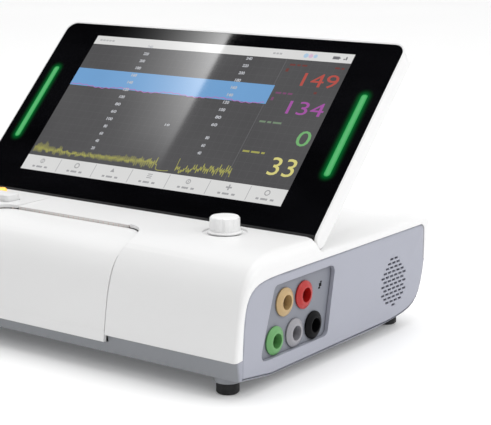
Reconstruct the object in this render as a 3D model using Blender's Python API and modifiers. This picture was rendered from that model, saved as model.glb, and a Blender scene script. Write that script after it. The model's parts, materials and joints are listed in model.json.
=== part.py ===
"""Cardiotocograph: a desk-top fetal monitor with a folding display and a strip-chart printer.

Metres, +Z up, +X to the right of someone who faces the front, front towards -Y.
The origin lies on the table under the middle of the case.
"""

import math

import bmesh
import bpy
from mathutils import Matrix, Vector

# Fits
GAP = 0.0003
RUN_GAP = 0.0005
OVERRUN = 0.002
WALL = 0.0025

# Facets
ROUND = 28
SMALL_ROUND = 18
TINY_ROUND = 10
NOSE_STEPS = 14
HEEL_STEPS = 10
FILLET_STEPS = 4
EDGE_STEPS = 2
BARREL_STEPS = 9
CORNER_STEPS = 5
GLASS_LIP_STEPS = 6

# Case
CASE_WIDTH = 0.350
CASE_DEPTH = 0.2576
FOOT_HEIGHT = 0.0085
SKIRT_Z = 0.0270
DECK_Z = 0.0930
DECK_LENGTH = 0.0498
NOSE_CROWN_PULL = 0.0450
NOSE_TOE_PULL = 0.0500
TOE_LEAN = math.radians(7)
DECK_ROUND = 0.0110
TOE_ROUND = 0.0030
RIM_ROUND = 0.0040
RIM_CORNER = 0.0050
REAR_SPLIT_Z = 0.0495
REAR_LEAN_RUN = 0.0065
STRIP_INSET = 0.0033
STRIP_LEAN_RUN = 0.0022
STRIP_BOTTOM_Z = 0.0127
FRONT_RISE_LENGTH = 0.0345
REAR_RISE_LENGTH = 0.0685
HEEL_REAR_PULL = 0.0380
HEEL_REAR_SHIFT = 0.0078
HEEL_BASE_PULL = 0.0542
HEEL_BASE_RISE = 0.0030
LOWER_ROUND = 0.0030

# Side panels
PANEL_THICKNESS = 0.0030
PANEL_TOP_Z = 0.0776
PANEL_BORDER = 0.0015
PANEL_CHAMFER = 0.0014
PANEL_REAR_INSET = 0.0095
PANEL_REAR_CORNER = 0.0050
PANEL_FRONT_INSET = 0.0081
PANEL_FRONT_PULL = 0.0623
PANEL_FRONT_SHIFT = 0.0022
PANEL_TOP_SHIFT = 0.0027
PANEL_TOP_START_Y = -0.0715

# Display
TILT = math.radians(45.6)
BARREL_RADIUS = 0.0067
HINGE_Y = -0.0214
HINGE_Z = 0.0903
TROUGH_CLEARANCE = 0.0012
RIM_CLEARANCE = 0.0006
DISPLAY_SIDE_INSET = 0.0035
GLASS_SIDE_INSET = 0.0057
GLASS_HEIGHT = 0.1720
GLASS_THICKNESS = 0.0018
GLASS_CORNER = 0.0090
GLASS_LIP_THICKNESS = 0.0012
GLASS_LIP_TURN = math.radians(50)
DISPLAY_BORDER = 0.0018
DISPLAY_CORNER = 0.0110
DISPLAY_EDGE_ROUND = 0.0030
BULGE_SIDE_INSET = 0.0300
BULGE_HEIGHT = 0.0030
BULGE_START = 0.0240
BULGE_END = 0.1480
BULGE_CORNER = 0.0080
RECESS_DEPTH = 0.0040
RECESS_SIDE_CLEARANCE = 0.0070
RECESS_CORNER = 0.0060
LCD_SIDE_INSET = 0.0405
LCD_HEIGHT = 0.1500
LCD_THICKNESS = 0.0050
LCD_WINDOW_BOTTOM = 0.0185
LCD_FRAME = 0.0042
LIGHT_BAR_SIDE_INSET = 0.0198
LIGHT_BAR_WIDTH = 0.0050
LIGHT_BAR_LENGTH = 0.0747
LIGHT_BAR_BOTTOM = 0.0491
BAR_ROUND_SHARE = 0.9
DISPLAY_BOARD_WIDTH = 0.1500
DISPLAY_BOARD_LENGTH = 0.0700

# Display hinges
BRACKET_SIDE_INSET = 0.0550
BRACKET_WIDTH = 0.0120
BRACKET_HEAD_RADIUS = 0.0042
BRACKET_NECK_THICKNESS = 0.0060
BRACKET_FLANGE_WIDTH = 0.0300
BRACKET_FLANGE_LENGTH = 0.0180
BRACKET_FLANGE_THICKNESS = 0.0030
HINGE_PIN_RADIUS = 0.0020
HINGE_PIN_LENGTH = 0.0400

# Printer door
DOOR_WIDTH = 0.1620
DOOR_CENTRE_X = -0.0210
DOOR_THICKNESS = 0.0028
DOOR_OVERHANG = 0.0050
DOOR_DROP = 0.0030
DOOR_CROWN_DROP = 0.0012
DOOR_CROWN_PULL = 0.0495
DOOR_CORNER_LENGTH = 0.0350
DOOR_AXIS_INSET = 0.0032
DOOR_AXIS_RISE = 0.0078
DOOR_BEAD_RADIUS = 0.0024
DOOR_PIN_RADIUS = 0.0012
DOOR_PIN_LENGTH = 0.0040
DOOR_BOSS_SIDE = 0.0050
SLOT_WIDTH = 0.1150
SLOT_SETBACK = 0.0020
SCOOP_DEPTH = 0.0012

# Printer
PAPER_WIDTH = 0.1120
PAPER_LENGTH = 0.0900
PAPER_THICKNESS = 0.0180
PAPER_SIDE_CLEARANCE = 0.0010
TRAY_WALL = 0.0015
TRAY_FLOOR_Z = 0.0400
TRAY_FRONT_INSET = 0.0158
ROLLER_RADIUS = 0.0060
ROLLER_Y = -0.0820
ROLLER_Z = 0.0780
ROLLER_SHAFT_RADIUS = 0.0020
HEAD_THICKNESS = 0.0030
HEAD_HEIGHT = 0.0200
CHEEK_THICKNESS = 0.0020
CHEEK_RADIUS = 0.0052
CHEEK_ROOT_SHARE = 0.8
GEAR_WIDTH = 0.0040
GEAR_MODULE = 0.0010
PLATEN_TEETH = 14
IDLER_TEETH = 16
PINION_TEETH = 10
GEAR_PLAY = 0.0003
TOOTH_TIP_SHARE = 0.9
TOOTH_ROOT_SHARE = 1.2
TOOTH_TIP_WIDTH_SHARE = 0.26
TOOTH_ROOT_WIDTH_SHARE = 0.66
IDLER_ANGLE = math.radians(-31)
PINION_ANGLE = math.radians(-62)
AXLE_RADIUS = 0.0015
MOTOR_RADIUS = 0.0110
MOTOR_LENGTH = 0.0180
GEAR_PLATE_THICKNESS = 0.0020

# Knob, key and lamp on the deck
KNOB_X = 0.1070
KNOB_Y = -0.0492
KNOB_BASE_RADIUS = 0.0126
KNOB_TOP_RADIUS = 0.0110
KNOB_HEIGHT = 0.0118
KNOB_SKIRT = 0.0016
KNOB_TOP_CHAMFER = 0.0012
KNOB_FLUTES = 10
KNOB_FLUTE_RADIUS = 0.0030
KNOB_FLUTE_BITE = 0.0007
FLUTE_START_SHARE = 1.4
FLUTE_PHASE_SHARE = 0.3
KNOB_TRAVEL = 0.0006
KNOB_BORE_DEPTH = 0.0080
DISH_RADIUS = 0.0165
DISH_DEPTH = 0.0012
SHAFT_RADIUS = 0.0030
ENCODER_SIDE = 0.0140
ENCODER_HEIGHT = 0.0080
KEY_Y = -0.0595
KEY_WIDTH = 0.0220
KEY_LENGTH = 0.0140
KEY_CORNER = 0.0030
KEY_PROUD = 0.0050
KEY_EDGE = 0.0010
KEY_TRAVEL = 0.0020
KEY_FLANGE = 0.0015
KEY_SWITCH_SIDE = 0.0080
KEY_SWITCH_HEIGHT = 0.0070
KEY_RIB = 0.0020
LAMP_SIDE_INSET = 0.0480
LAMP_TO_KEY = 0.0235
LAMP_Y = -0.0400
LAMP_RADIUS = 0.0050
LAMP_PROUD = 0.0030
LAMP_EDGE = 0.0010
LAMP_FLANGE = 0.0015
LAMP_LENGTH = 0.0090

# Connectors on the right side
PLATE_THICKNESS = 0.0020
PLATE_CORNER = 0.0050
PLATE_TOP_Z = 0.0710
PLATE_BOTTOM_Z = 0.0205
PLATE_TOP_FRONT_Y = -0.0834
PLATE_TOP_REAR_Y = -0.0082
PLATE_BOTTOM_FRONT_Y = -0.1010
PLATE_BOTTOM_REAR_Y = -0.0182
PLATE_LEDGE = 0.0025
SOCKET_PITCH = 0.0237
SOCKET_TOP_Y = -0.0684
SOCKET_TOP_Z = 0.0560
SOCKET_BOTTOM_Z = 0.0313
SOCKET_BASE_RADIUS = 0.0101
SOCKET_FACE_RADIUS = 0.0066
SOCKET_BORE_RADIUS = 0.0053
SOCKET_BODY_RADIUS = 0.0078
SOCKET_BODY_LENGTH = 0.0140
SOCKET_FLANGE = 0.0010
SOCKET_BORE_DEPTH = 0.0120
SOCKET_PIN_RADIUS = 0.0026
SOCKET_PIN_RECESS = 0.0050

# Speaker grille
GRILLE_Y = 0.0738
GRILLE_Z = 0.0405
GRILLE_RADIUS = 0.0200
GRILLE_ROWS = 12
GRILLE_ROW_PITCH = 0.0033
GRILLE_SLOT_LENGTH = 0.0048
GRILLE_SLOT_HEIGHT = 0.0017
GRILLE_SLOT_PITCH = 0.0062
SPEAKER_RADIUS = 0.0235
SPEAKER_RIM = 0.0030
SPEAKER_DEPTH = 0.0160
SPEAKER_MAGNET_RADIUS = 0.0110

# Feet
FOOT_RADIUS = 0.0080
FOOT_SIDE_INSET = 0.0185
FOOT_FRONT_INSET = 0.0166
FOOT_REAR_INSET = 0.0338
FOOT_CHAMFER = 0.0012
FOOT_STEM_RADIUS = 0.0030
FOOT_STEM_LENGTH = 0.0040
PAD_MARGIN = 0.0015

# Inside the case
BOARD_THICKNESS = 0.0016
BOARD_SIDE_INSET = 0.0550
BOARD_TO_BATTERY = 0.0120
BOARD_FRONT_Y = 0.0000
BOARD_REAR_Y = 0.0800
MAIN_BOARD_Z = 0.0300
POST_RADIUS = 0.0035
POST_INSET = 0.0060
SHIELD_INSET = 0.0100
SHIELD_LENGTH = 0.0600
SHIELD_HEIGHT = 0.0120
BATTERY_TO_SCREW = 0.0120
BATTERY_RIGHT = -0.0220
BATTERY_FRONT_Y = 0.0100
BATTERY_REAR_Y = 0.0750
BATTERY_HEIGHT = 0.0200
COVER_THICKNESS = 0.0020
COVER_LEDGE = 0.0030
SUPPLY_SIDE_INSET = 0.0110
SUPPLY_WIDTH = 0.0370
SUPPLY_FRONT_Y = -0.0620
SUPPLY_REAR_Y = -0.0020
SUPPLY_HEIGHT = 0.0320

# Rear sockets
PORT_FACE_INSET = 0.0010
PORT_Z = 0.0640
PORT_BAY_HEIGHT = 0.0244
PORT_BAY_CORNER = 0.0020
SUPPLY_BAY_INSET = 0.0190
SUPPLY_BAY_LENGTH = 0.0900
DATA_BAY_INSET = 0.0690
DATA_BAY_LENGTH = 0.0620
INLET_OFFSET = 0.0410
INLET_WIDTH = 0.0270
INLET_HEIGHT = 0.0190
INLET_FLANGE = 0.0020
FLANGE_THICKNESS = 0.0015
INLET_DEPTH = 0.0200
INLET_MOUTH_DEPTH = 0.0150
INLET_WALL = 0.0020
INLET_CORNER = 0.0040
BLADE_WIDTH = 0.0040
BLADE_HEIGHT = 0.0020
BLADE_PITCH = 0.0070
BLADE_OFFSET = 0.0020
ROCKER_OFFSET = 0.0780
ROCKER_WIDTH = 0.0130
ROCKER_HEIGHT = 0.0190
ROCKER_RIM = 0.0020
ROCKER_DEPTH = 0.0140
ROCKER_SWING = math.radians(9)
ROCKER_AXIS_DEPTH = 0.0040
ROCKER_PIN_RADIUS = 0.0012
ROCKER_DISH_SHARE = 0.8
STUD_OFFSET = 0.0110
STUD_RADIUS = 0.0020
STUD_PROUD = 0.0040
STUD_NUT_RADIUS = 0.0050
STUD_NUT_THICKNESS = 0.0020
STUD_NUT_SIDES = 6
STUD_TAIL = 0.0080
NETWORK_OFFSET = 0.0160
NETWORK_WIDTH = 0.0160
NETWORK_HEIGHT = 0.0135
USB_OFFSET = 0.0460
USB_WIDTH = 0.0146
USB_HEIGHT = 0.0070
PORT_DEPTH = 0.0160
PORT_WALL = 0.0009
PORT_MOUTH_DEPTH = 0.0120

# Case screws
SCREW_HEAD_RADIUS = 0.0028
SCREW_HEAD_HEIGHT = 0.0020
SCREW_SHANK_RADIUS = 0.0014
SCREW_LENGTH = 0.0090
SCREW_SIDE_INSET = 0.0450
SCREW_FRONT_Y = -0.0780
SCREW_REAR_INSET = 0.0668
SCREW_SINK = 0.0030
DRIVE_LENGTH_SHARE = 0.8
DRIVE_WIDTH_SHARE = 0.2
BOSS_RADIUS = 0.0050
BOSS_HEIGHT = 0.0060

# Places that follow from the sizes above
FRONT_Y = -CASE_DEPTH / 2
REAR_Y = CASE_DEPTH / 2
HALF_WIDTH = CASE_WIDTH / 2
LAMP_X = LAMP_SIDE_INSET - HALF_WIDTH
KEY_X = LAMP_X + LAMP_TO_KEY
DISPLAY_WIDTH = CASE_WIDTH - 2 * DISPLAY_SIDE_INSET
GLASS_WIDTH = CASE_WIDTH - 2 * GLASS_SIDE_INSET
BULGE_WIDTH = CASE_WIDTH - 2 * BULGE_SIDE_INSET
LCD_WIDTH = CASE_WIDTH - 2 * LCD_SIDE_INSET
LIGHT_BAR_X = HALF_WIDTH - LIGHT_BAR_SIDE_INSET
BRACKET_X = HALF_WIDTH - BRACKET_SIDE_INSET
FOOT_X = HALF_WIDTH - FOOT_SIDE_INSET
FOOT_FRONT_Y = FRONT_Y + FOOT_FRONT_INSET
FOOT_REAR_Y = REAR_Y - FOOT_REAR_INSET
SCREW_X = HALF_WIDTH - SCREW_SIDE_INSET
SCREW_REAR_Y = REAR_Y - SCREW_REAR_INSET
SUPPLY_LEFT = SUPPLY_SIDE_INSET - HALF_WIDTH
SUPPLY_RIGHT = SUPPLY_LEFT + SUPPLY_WIDTH
TRAY_FRONT_Y = FRONT_Y + TRAY_FRONT_INSET
BATTERY_LEFT = BATTERY_TO_SCREW - SCREW_X
BOARD_LEFT = BATTERY_RIGHT + BOARD_TO_BATTERY
BOARD_RIGHT = HALF_WIDTH - BOARD_SIDE_INSET
SUPPLY_BAY_LEFT = SUPPLY_BAY_INSET - HALF_WIDTH
SUPPLY_BAY_RIGHT = SUPPLY_BAY_LEFT + SUPPLY_BAY_LENGTH
DATA_BAY_RIGHT = HALF_WIDTH - DATA_BAY_INSET
DATA_BAY_LEFT = DATA_BAY_RIGHT - DATA_BAY_LENGTH
STUD_X = SUPPLY_BAY_LEFT + STUD_OFFSET
INLET_X = SUPPLY_BAY_LEFT + INLET_OFFSET
ROCKER_X = SUPPLY_BAY_LEFT + ROCKER_OFFSET
NETWORK_X = DATA_BAY_LEFT + NETWORK_OFFSET
USB_X = DATA_BAY_LEFT + USB_OFFSET
TOE_Y = FRONT_Y + DOOR_OVERHANG * math.tan(TOE_LEAN)
CREASE_Y = HINGE_Y - DECK_LENGTH
RIM_Z = HINGE_Z - BARREL_RADIUS - RIM_CLEARANCE
RECESS_Z = RIM_Z - RECESS_DEPTH
TROUGH_RADIUS = BARREL_RADIUS + TROUGH_CLEARANCE
SPLIT_Y = REAR_Y - REAR_LEAN_RUN
STRIP_Y = TOE_Y + STRIP_INSET
CASE_BOTTOM_Z = FOOT_HEIGHT
POCKET_X = HALF_WIDTH - PANEL_THICKNESS - GAP
CAVITY_X = POCKET_X - WALL
DOOR_LEFT = DOOR_CENTRE_X - DOOR_WIDTH / 2
DOOR_RIGHT = DOOR_CENTRE_X + DOOR_WIDTH / 2
DOOR_LIP_Z = SKIRT_Z - DOOR_OVERHANG
DOOR_AXIS_Y = FRONT_Y + DOOR_AXIS_INSET
DOOR_AXIS_Z = DOOR_LIP_Z + DOOR_AXIS_RISE
PLATE_X = POCKET_X
SOCKET_PIN_RECESS_Z = HALF_WIDTH - PLATE_X - GAP - SOCKET_PIN_RECESS
LID_Z = DECK_Z - WALL
TROUGH_FRONT_Y = HINGE_Y - TROUGH_RADIUS
PORT_Y = SPLIT_Y - PORT_FACE_INSET
PORT_INNER_Y = PORT_Y - WALL
CEILING_Z = RECESS_Z - WALL
FLOOR_Z = CASE_BOTTOM_Z + WALL
PAPER_LEFT = DOOR_CENTRE_X - PAPER_WIDTH / 2
PAPER_RIGHT = DOOR_CENTRE_X + PAPER_WIDTH / 2
PLATEN_REACH = GEAR_MODULE * (PLATEN_TEETH + IDLER_TEETH) / 2 + GEAR_PLAY
PINION_REACH = GEAR_MODULE * (IDLER_TEETH + PINION_TEETH) / 2 + GEAR_PLAY
IDLER_Y = ROLLER_Y + PLATEN_REACH * math.cos(IDLER_ANGLE)
IDLER_Z = ROLLER_Z + PLATEN_REACH * math.sin(IDLER_ANGLE)
PINION_Y = IDLER_Y + PINION_REACH * math.cos(PINION_ANGLE)
PINION_Z = IDLER_Z + PINION_REACH * math.sin(PINION_ANGLE)
ROLLER_AXIS = (ROLLER_Y, ROLLER_Z)
IDLER_AXIS = (IDLER_Y, IDLER_Z)
PINION_AXIS = (PINION_Y, PINION_Z)
GEAR_X = PAPER_RIGHT + 2 * RUN_GAP + CHEEK_THICKNESS
GEAR_PLATE_X = GEAR_X + GEAR_WIDTH + 2 * RUN_GAP
BARREL_FACE = BARREL_RADIUS
GLASS_BACK = BARREL_FACE - GLASS_THICKNESS


def material(name, colour, roughness, metallic=0.0, transmission=0.0, glow=0.0):
    made = bpy.data.materials.new(name)
    made.use_nodes = True
    shader = made.node_tree.nodes["Principled BSDF"]
    shader.inputs["Base Color"].default_value = (*colour, 1.0)
    shader.inputs["Roughness"].default_value = roughness
    shader.inputs["Metallic"].default_value = metallic
    shader.inputs["Transmission Weight"].default_value = transmission
    shader.inputs["Emission Color"].default_value = (*colour, 1.0)
    shader.inputs["Emission Strength"].default_value = glow
    made.diffuse_color = (*colour, 1.0)
    return made


def clear_scene():
    for obj in list(bpy.data.objects):
        bpy.data.objects.remove(obj, do_unlink=True)


def collection(name):
    made = bpy.data.collections.new(name)
    bpy.context.scene.collection.children.link(made)
    return made


clear_scene()
PARTS = collection("cardiotocograph")
CUTTERS = collection("cutters")

WHITE = material("white_case_plastic", (0.86, 0.86, 0.87), 0.38)
GREY = material("grey_panel_plastic", (0.40, 0.41, 0.47), 0.48)
DARK_GREY = material("dark_grey_plastic", (0.24, 0.25, 0.28), 0.5)
BLACK = material("black_plastic", (0.02, 0.02, 0.022), 0.35)
RUBBER = material("black_rubber", (0.015, 0.015, 0.016), 0.8)
GLASS = material("black_cover_glass", (0.004, 0.004, 0.005), 0.06)
LCD = material("lcd_face", (0.10, 0.10, 0.11), 0.3)
LIGHT_GREEN = material("green_light_bar", (0.05, 0.75, 0.12), 0.3, glow=2.0)
AMBER = material("amber_light_ring", (0.95, 0.55, 0.12), 0.35, glow=1.0)
BASE_GREY = material("base_grey_plastic", (0.27, 0.28, 0.30), 0.55)
BEIGE = material("beige_socket", (0.66, 0.47, 0.30), 0.4)
RED = material("red_socket", (0.62, 0.06, 0.06), 0.4)
GREEN = material("green_socket", (0.16, 0.42, 0.14), 0.4)
PALE_GREY = material("pale_grey_socket", (0.45, 0.44, 0.48), 0.4)
STEEL = material("steel", (0.62, 0.62, 0.64), 0.3, metallic=1.0)
BRASS = material("brass", (0.75, 0.58, 0.28), 0.3, metallic=1.0)
BOARD = material("circuit_board", (0.04, 0.22, 0.10), 0.5)
PAPER = material("chart_paper", (0.86, 0.85, 0.82), 0.8)
BLUE = material("battery_wrap", (0.07, 0.14, 0.38), 0.45)


# Placing and joining

def put(name, mesh, finish=None, helper=False):
    obj = bpy.data.objects.new(name, mesh)
    (CUTTERS if helper else PARTS).objects.link(obj)
    if helper:
        obj.hide_render = True
        obj.display_type = "WIRE"
    if finish is not None:
        mesh.materials.clear()
        mesh.materials.append(finish)
    return obj


def mesh_of(name, bm):
    bmesh.ops.recalc_face_normals(bm, faces=bm.faces)
    mesh = bpy.data.meshes.new(name)
    bm.to_mesh(mesh)
    bm.free()
    return mesh


def boolean(obj, other, operation):
    modifier = obj.modifiers.new(f"{operation.lower()} {other.name}", "BOOLEAN")
    modifier.operation = operation
    modifier.solver = "EXACT"
    modifier.object = other


def cut(obj, *others):
    for other in others:
        boolean(obj, other, "DIFFERENCE")


def join(obj, *others):
    for other in others:
        boolean(obj, other, "UNION")


def keep(obj, other):
    boolean(obj, other, "INTERSECT")


def carry(parent, *pieces):
    for piece in pieces:
        piece.parent = parent


# Basic solids

def box(name, low, high, finish=None, helper=False):
    bm = bmesh.new()
    size = [b - a for a, b in zip(low, high)]
    middle = [(a + b) / 2 for a, b in zip(low, high)]
    shape = Matrix.Translation(middle) @ Matrix.Diagonal((*size, 1.0))
    bmesh.ops.create_cube(bm, size=1.0, matrix=shape)
    return put(name, mesh_of(name, bm), finish, helper)


TURN_TO = {
    "X": Matrix.Rotation(math.radians(90), 4, "Y"),
    "Y": Matrix.Rotation(math.radians(-90), 4, "X"),
    "Z": Matrix.Identity(4),
}


def rod(name, radius, start, length, axis, finish=None, helper=False, sides=ROUND, end_radius=None):
    """A cylinder or cone from start along axis."""
    bm = bmesh.new()
    place = Matrix.Translation(start) @ TURN_TO[axis] @ Matrix.Translation((0, 0, length / 2))
    bmesh.ops.create_cone(
        bm,
        cap_ends=True,
        segments=sides,
        radius1=radius,
        radius2=radius if end_radius is None else end_radius,
        depth=length,
        matrix=place,
    )
    return put(name, mesh_of(name, bm), finish, helper)


def prism(name, outline, low, high, axis, finish=None, helper=False):
    """A flat outline drawn out along axis: (y, z) pairs for X, (x, z) for Y and (x, y) for Z."""
    bm = bmesh.new()
    corners = []
    for a, b in outline:
        spot = {"X": (low, a, b), "Y": (a, low, b), "Z": (a, b, low)}[axis]
        corners.append(bm.verts.new(spot))
    face = bm.faces.new(corners)
    made = bmesh.ops.extrude_face_region(bm, geom=[face])
    moved = [item for item in made["geom"] if isinstance(item, bmesh.types.BMVert)]
    step = {"X": (high - low, 0, 0), "Y": (0, high - low, 0), "Z": (0, 0, high - low)}[axis]
    bmesh.ops.translate(bm, verts=moved, vec=step)
    return put(name, mesh_of(name, bm), finish, helper)


def turned(name, profile, finish=None, helper=False, sides=ROUND):
    """A profile of (radius, height) pairs, listed top to bottom, turned about Z."""
    mesh = bpy.data.meshes.new(name)
    points = [(radius, 0, height) for radius, height in profile]
    edges = [(i, i + 1) for i in range(len(points) - 1)]
    mesh.from_pydata(points, edges, [])
    obj = put(name, mesh, finish, helper)
    screw = obj.modifiers.new("turn", "SCREW")
    screw.axis = "Z"
    screw.steps = sides
    screw.render_steps = sides
    screw.use_merge_vertices = True
    screw.merge_threshold = GAP / ROUND
    screw.use_smooth_shade = True
    return obj


def loft(name, rings, finish=None, helper=False):
    """Closed rings of equally many points, joined one to the next, with both ends capped."""
    bm = bmesh.new()
    loops = [[bm.verts.new(point) for point in ring] for ring in rings]
    for first, second in zip(loops[:-1], loops[1:]):
        for i in range(len(first)):
            j = (i + 1) % len(first)
            bm.faces.new((first[i], first[j], second[j], second[i]))
    bmesh.ops.triangulate(bm, faces=bm.faces)
    bm.faces.new(loops[0])
    bm.faces.new(loops[-1])
    return put(name, mesh_of(name, bm), finish, helper)


# Outlines

def bezier(start, pull_start, pull_end, end, steps):
    points = []
    for i in range(steps + 1):
        t = i / steps
        s = 1 - t
        weights = (s**3, 3 * s * s * t, 3 * s * t * t, t**3)
        corners = (start, pull_start, pull_end, end)
        points.append(tuple(sum(w * c[k] for w, c in zip(weights, corners)) for k in (0, 1)))
    return points


def arc(centre, radius, start, end, steps):
    points = []
    for i in range(steps + 1):
        angle = start + (end - start) * i / steps
        points.append((centre[0] + radius * math.cos(angle), centre[1] + radius * math.sin(angle)))
    return points


def rounded(corners, steps=CORNER_STEPS):
    """A closed outline of (a, b, radius) corners with each corner rounded."""
    points = []
    count = len(corners)
    for i, (a, b, radius) in enumerate(corners):
        here = Vector((a, b))
        back = (Vector(corners[i - 1][:2]) - here).normalized()
        ahead = (Vector(corners[(i + 1) % count][:2]) - here).normalized()
        if radius <= 0:
            points.append((a, b))
            continue
        half = back.angle(ahead) / 2
        reach = radius / math.tan(half)
        centre = here + (back + ahead).normalized() * radius / math.sin(half)
        first = here + back * reach - centre
        last = here + ahead * reach - centre
        turn = first.angle_signed(last)
        for step in range(steps + 1):
            spoke = first.copy()
            spoke.rotate(Matrix.Rotation(-turn * step / steps, 2))
            points.append(tuple(centre + spoke))
    return points


def rectangle(a0, b0, a1, b1, radius, steps=CORNER_STEPS):
    return rounded([(a0, b0, radius), (a1, b0, radius), (a1, b1, radius), (a0, b1, radius)], steps)


def moved_in(points, depths, closed=True):
    """Moves each point of a path to its left, square to the edges that meet there."""
    count = len(points)
    result = []
    for i, (a, b) in enumerate(points):
        before = points[i - 1] if closed or i > 0 else None
        after = points[(i + 1) % count] if closed or i < count - 1 else None
        sides = []
        if before is not None:
            sides.append(Vector((a - before[0], b - before[1])).normalized())
        if after is not None:
            sides.append(Vector((after[0] - a, after[1] - b)).normalized())
        normals = [Vector((-side.y, side.x)) for side in sides]
        along = sum(normals, Vector((0, 0))).normalized()
        depth = depths[i] / max(along.dot(normals[0]), math.cos(math.radians(60)))
        result.append((a + along.x * depth, b + along.y * depth))
    return result


def nose(crown_y, crown_z, crown_drop, crown_pull):
    """The front curve from the deck down to the toe of the white shell."""
    crown = (crown_y, crown_z)
    pull = (crown_y - crown_pull, crown_z - crown_drop)
    toe_pull = (TOE_Y + NOSE_TOE_PULL * math.sin(TOE_LEAN), SKIRT_Z + NOSE_TOE_PULL * math.cos(TOE_LEAN))
    return bezier(crown, pull, toe_pull, (TOE_Y, SKIRT_Z), NOSE_STEPS)


def lower_path(steps):
    """The side view of the grey tray, from the strip's foot along the bottom and up the rear."""
    low_front = (STRIP_Y + STRIP_LEAN_RUN, STRIP_BOTTOM_Z)
    flat_front = (low_front[0] + FRONT_RISE_LENGTH, CASE_BOTTOM_Z)
    flat_rear = (SPLIT_Y - REAR_RISE_LENGTH, CASE_BOTTOM_Z)
    heel_top = (SPLIT_Y, REAR_SPLIT_Z)
    heel = bezier(
        flat_rear,
        (flat_rear[0] + HEEL_BASE_PULL, flat_rear[1] + HEEL_BASE_RISE),
        (heel_top[0] - HEEL_REAR_SHIFT, heel_top[1] - HEEL_REAR_PULL),
        heel_top,
        steps,
    )
    return [low_front, flat_front] + heel


def rim_corner():
    centre = (REAR_Y - RIM_CORNER, RIM_Z - RIM_CORNER)
    return arc(centre, RIM_CORNER, 0, math.radians(90), CORNER_STEPS)


def panel_path():
    """The side panel's outline: its bottom follows the tray and its front follows the nose."""
    path = lower_path(HEEL_STEPS + 1)
    lower = moved_in(path, [PANEL_BORDER] * len(path), closed=False)
    toe = (lower[1][0] + PANEL_BORDER, CASE_BOTTOM_Z + PANEL_BORDER)
    rear = REAR_Y - PANEL_REAR_INSET
    corner = (rear - PANEL_REAR_CORNER, PANEL_TOP_Z - PANEL_REAR_CORNER)
    front = FRONT_Y + PANEL_FRONT_INSET
    sweep = bezier(
        (PANEL_TOP_START_Y, PANEL_TOP_Z),
        (front + PANEL_TOP_SHIFT, PANEL_TOP_Z),
        (front + PANEL_FRONT_SHIFT, STRIP_BOTTOM_Z + PANEL_FRONT_PULL),
        (front, STRIP_BOTTOM_Z + PANEL_BORDER),
        NOSE_STEPS,
    )
    round_corner = arc(corner, PANEL_REAR_CORNER, 0, math.radians(90), CORNER_STEPS)
    return [toe] + lower[3:] + [(rear, REAR_SPLIT_Z + PANEL_BORDER)] + round_corner + sweep


# Case shells

def side_rings(outline, radii, half, steps=FILLET_STEPS):
    """Rings across a width of twice half, drawn in towards each side along a quarter circle."""
    rings = []
    fan = [math.radians(90) * i / steps for i in range(steps + 1)]
    for side in (-1, 1):
        turns = fan if side > 0 else fan[::-1]
        for turn in turns:
            drawn = moved_in(outline, [radius * (1 - math.cos(turn)) for radius in radii])
            ring = []
            for (y, z), radius in zip(drawn, radii):
                x = side * (half - radius * (1 - math.sin(turn)))
                ring.append((x, y, z))
            rings.append(ring)
    return rings


def split_cutter(name, above, gap):
    """Everything above or below the line where the two shells meet."""
    far = CASE_DEPTH
    slope = (REAR_SPLIT_Z - SKIRT_Z) / (SPLIT_Y - TOE_Y)
    front = SKIRT_Z + gap - slope * (TOE_Y + far)
    rear = REAR_SPLIT_Z + gap + slope * (far - SPLIT_Y)
    edge = far if above else -far
    outline = [(-far, front), (far, rear), (far, edge), (-far, edge)]
    return prism(name, outline, -CASE_WIDTH, CASE_WIDTH, "X", helper=True)


def cavity_cutter():
    path = lower_path(HEEL_STEPS)
    lower = moved_in(path, [WALL] * len(path), closed=False)
    crown = nose(CREASE_Y, DECK_Z, 0, NOSE_CROWN_PULL)
    inner_nose = moved_in(crown, [WALL] * len(crown), closed=False)
    outline = lower[:-1]
    outline += [(PORT_INNER_Y, REAR_SPLIT_Z), (PORT_INNER_Y, CEILING_Z)]
    outline += [(TROUGH_FRONT_Y - WALL, CEILING_Z), (TROUGH_FRONT_Y - WALL, LID_Z)]
    outline += inner_nose
    outline += [(STRIP_Y + WALL, SKIRT_Z)]
    return prism("cavity", outline, -CAVITY_X, CAVITY_X, "X", helper=True)


def pocket_cutter(side):
    """The shallow bed of a side panel in both shells."""
    path = panel_path()
    outline = moved_in(path, [-GAP] * len(path))
    ends = sorted((side * POCKET_X, side * (HALF_WIDTH + OVERRUN)))
    return prism(f"panel_bed_{'right' if side > 0 else 'left'}", outline, *ends, "X", helper=True)


def door_plan(margin, rear_y):
    """The printer door seen from above, with its two rear corners drawn round."""
    half = DOOR_WIDTH / 2 + margin
    run = (DOOR_WIDTH - SLOT_WIDTH) / 2
    front = FRONT_Y - CASE_DEPTH
    bend = []
    for i in range(NOSE_STEPS + 1):
        angle = math.radians(90) * i / NOSE_STEPS
        x = half - run + run * math.cos(angle)
        y = rear_y - DOOR_CORNER_LENGTH + DOOR_CORNER_LENGTH * math.sin(angle)
        bend.append((x, y))
    right = [(DOOR_CENTRE_X + x, y) for x, y in bend]
    left = [(DOOR_CENTRE_X - x, y) for x, y in reversed(bend)]
    return [(DOOR_CENTRE_X + half, front)] + right + left + [(DOOR_CENTRE_X - half, front)]


def plate_outline(margin):
    corners = [
        (PLATE_BOTTOM_FRONT_Y, PLATE_BOTTOM_Z, PLATE_CORNER),
        (PLATE_BOTTOM_REAR_Y, PLATE_BOTTOM_Z, PLATE_CORNER),
        (PLATE_TOP_REAR_Y, PLATE_TOP_Z, PLATE_CORNER),
        (PLATE_TOP_FRONT_Y, PLATE_TOP_Z, PLATE_CORNER),
    ]
    outline = rounded(corners)
    return moved_in(outline, [-margin] * len(outline))


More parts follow.
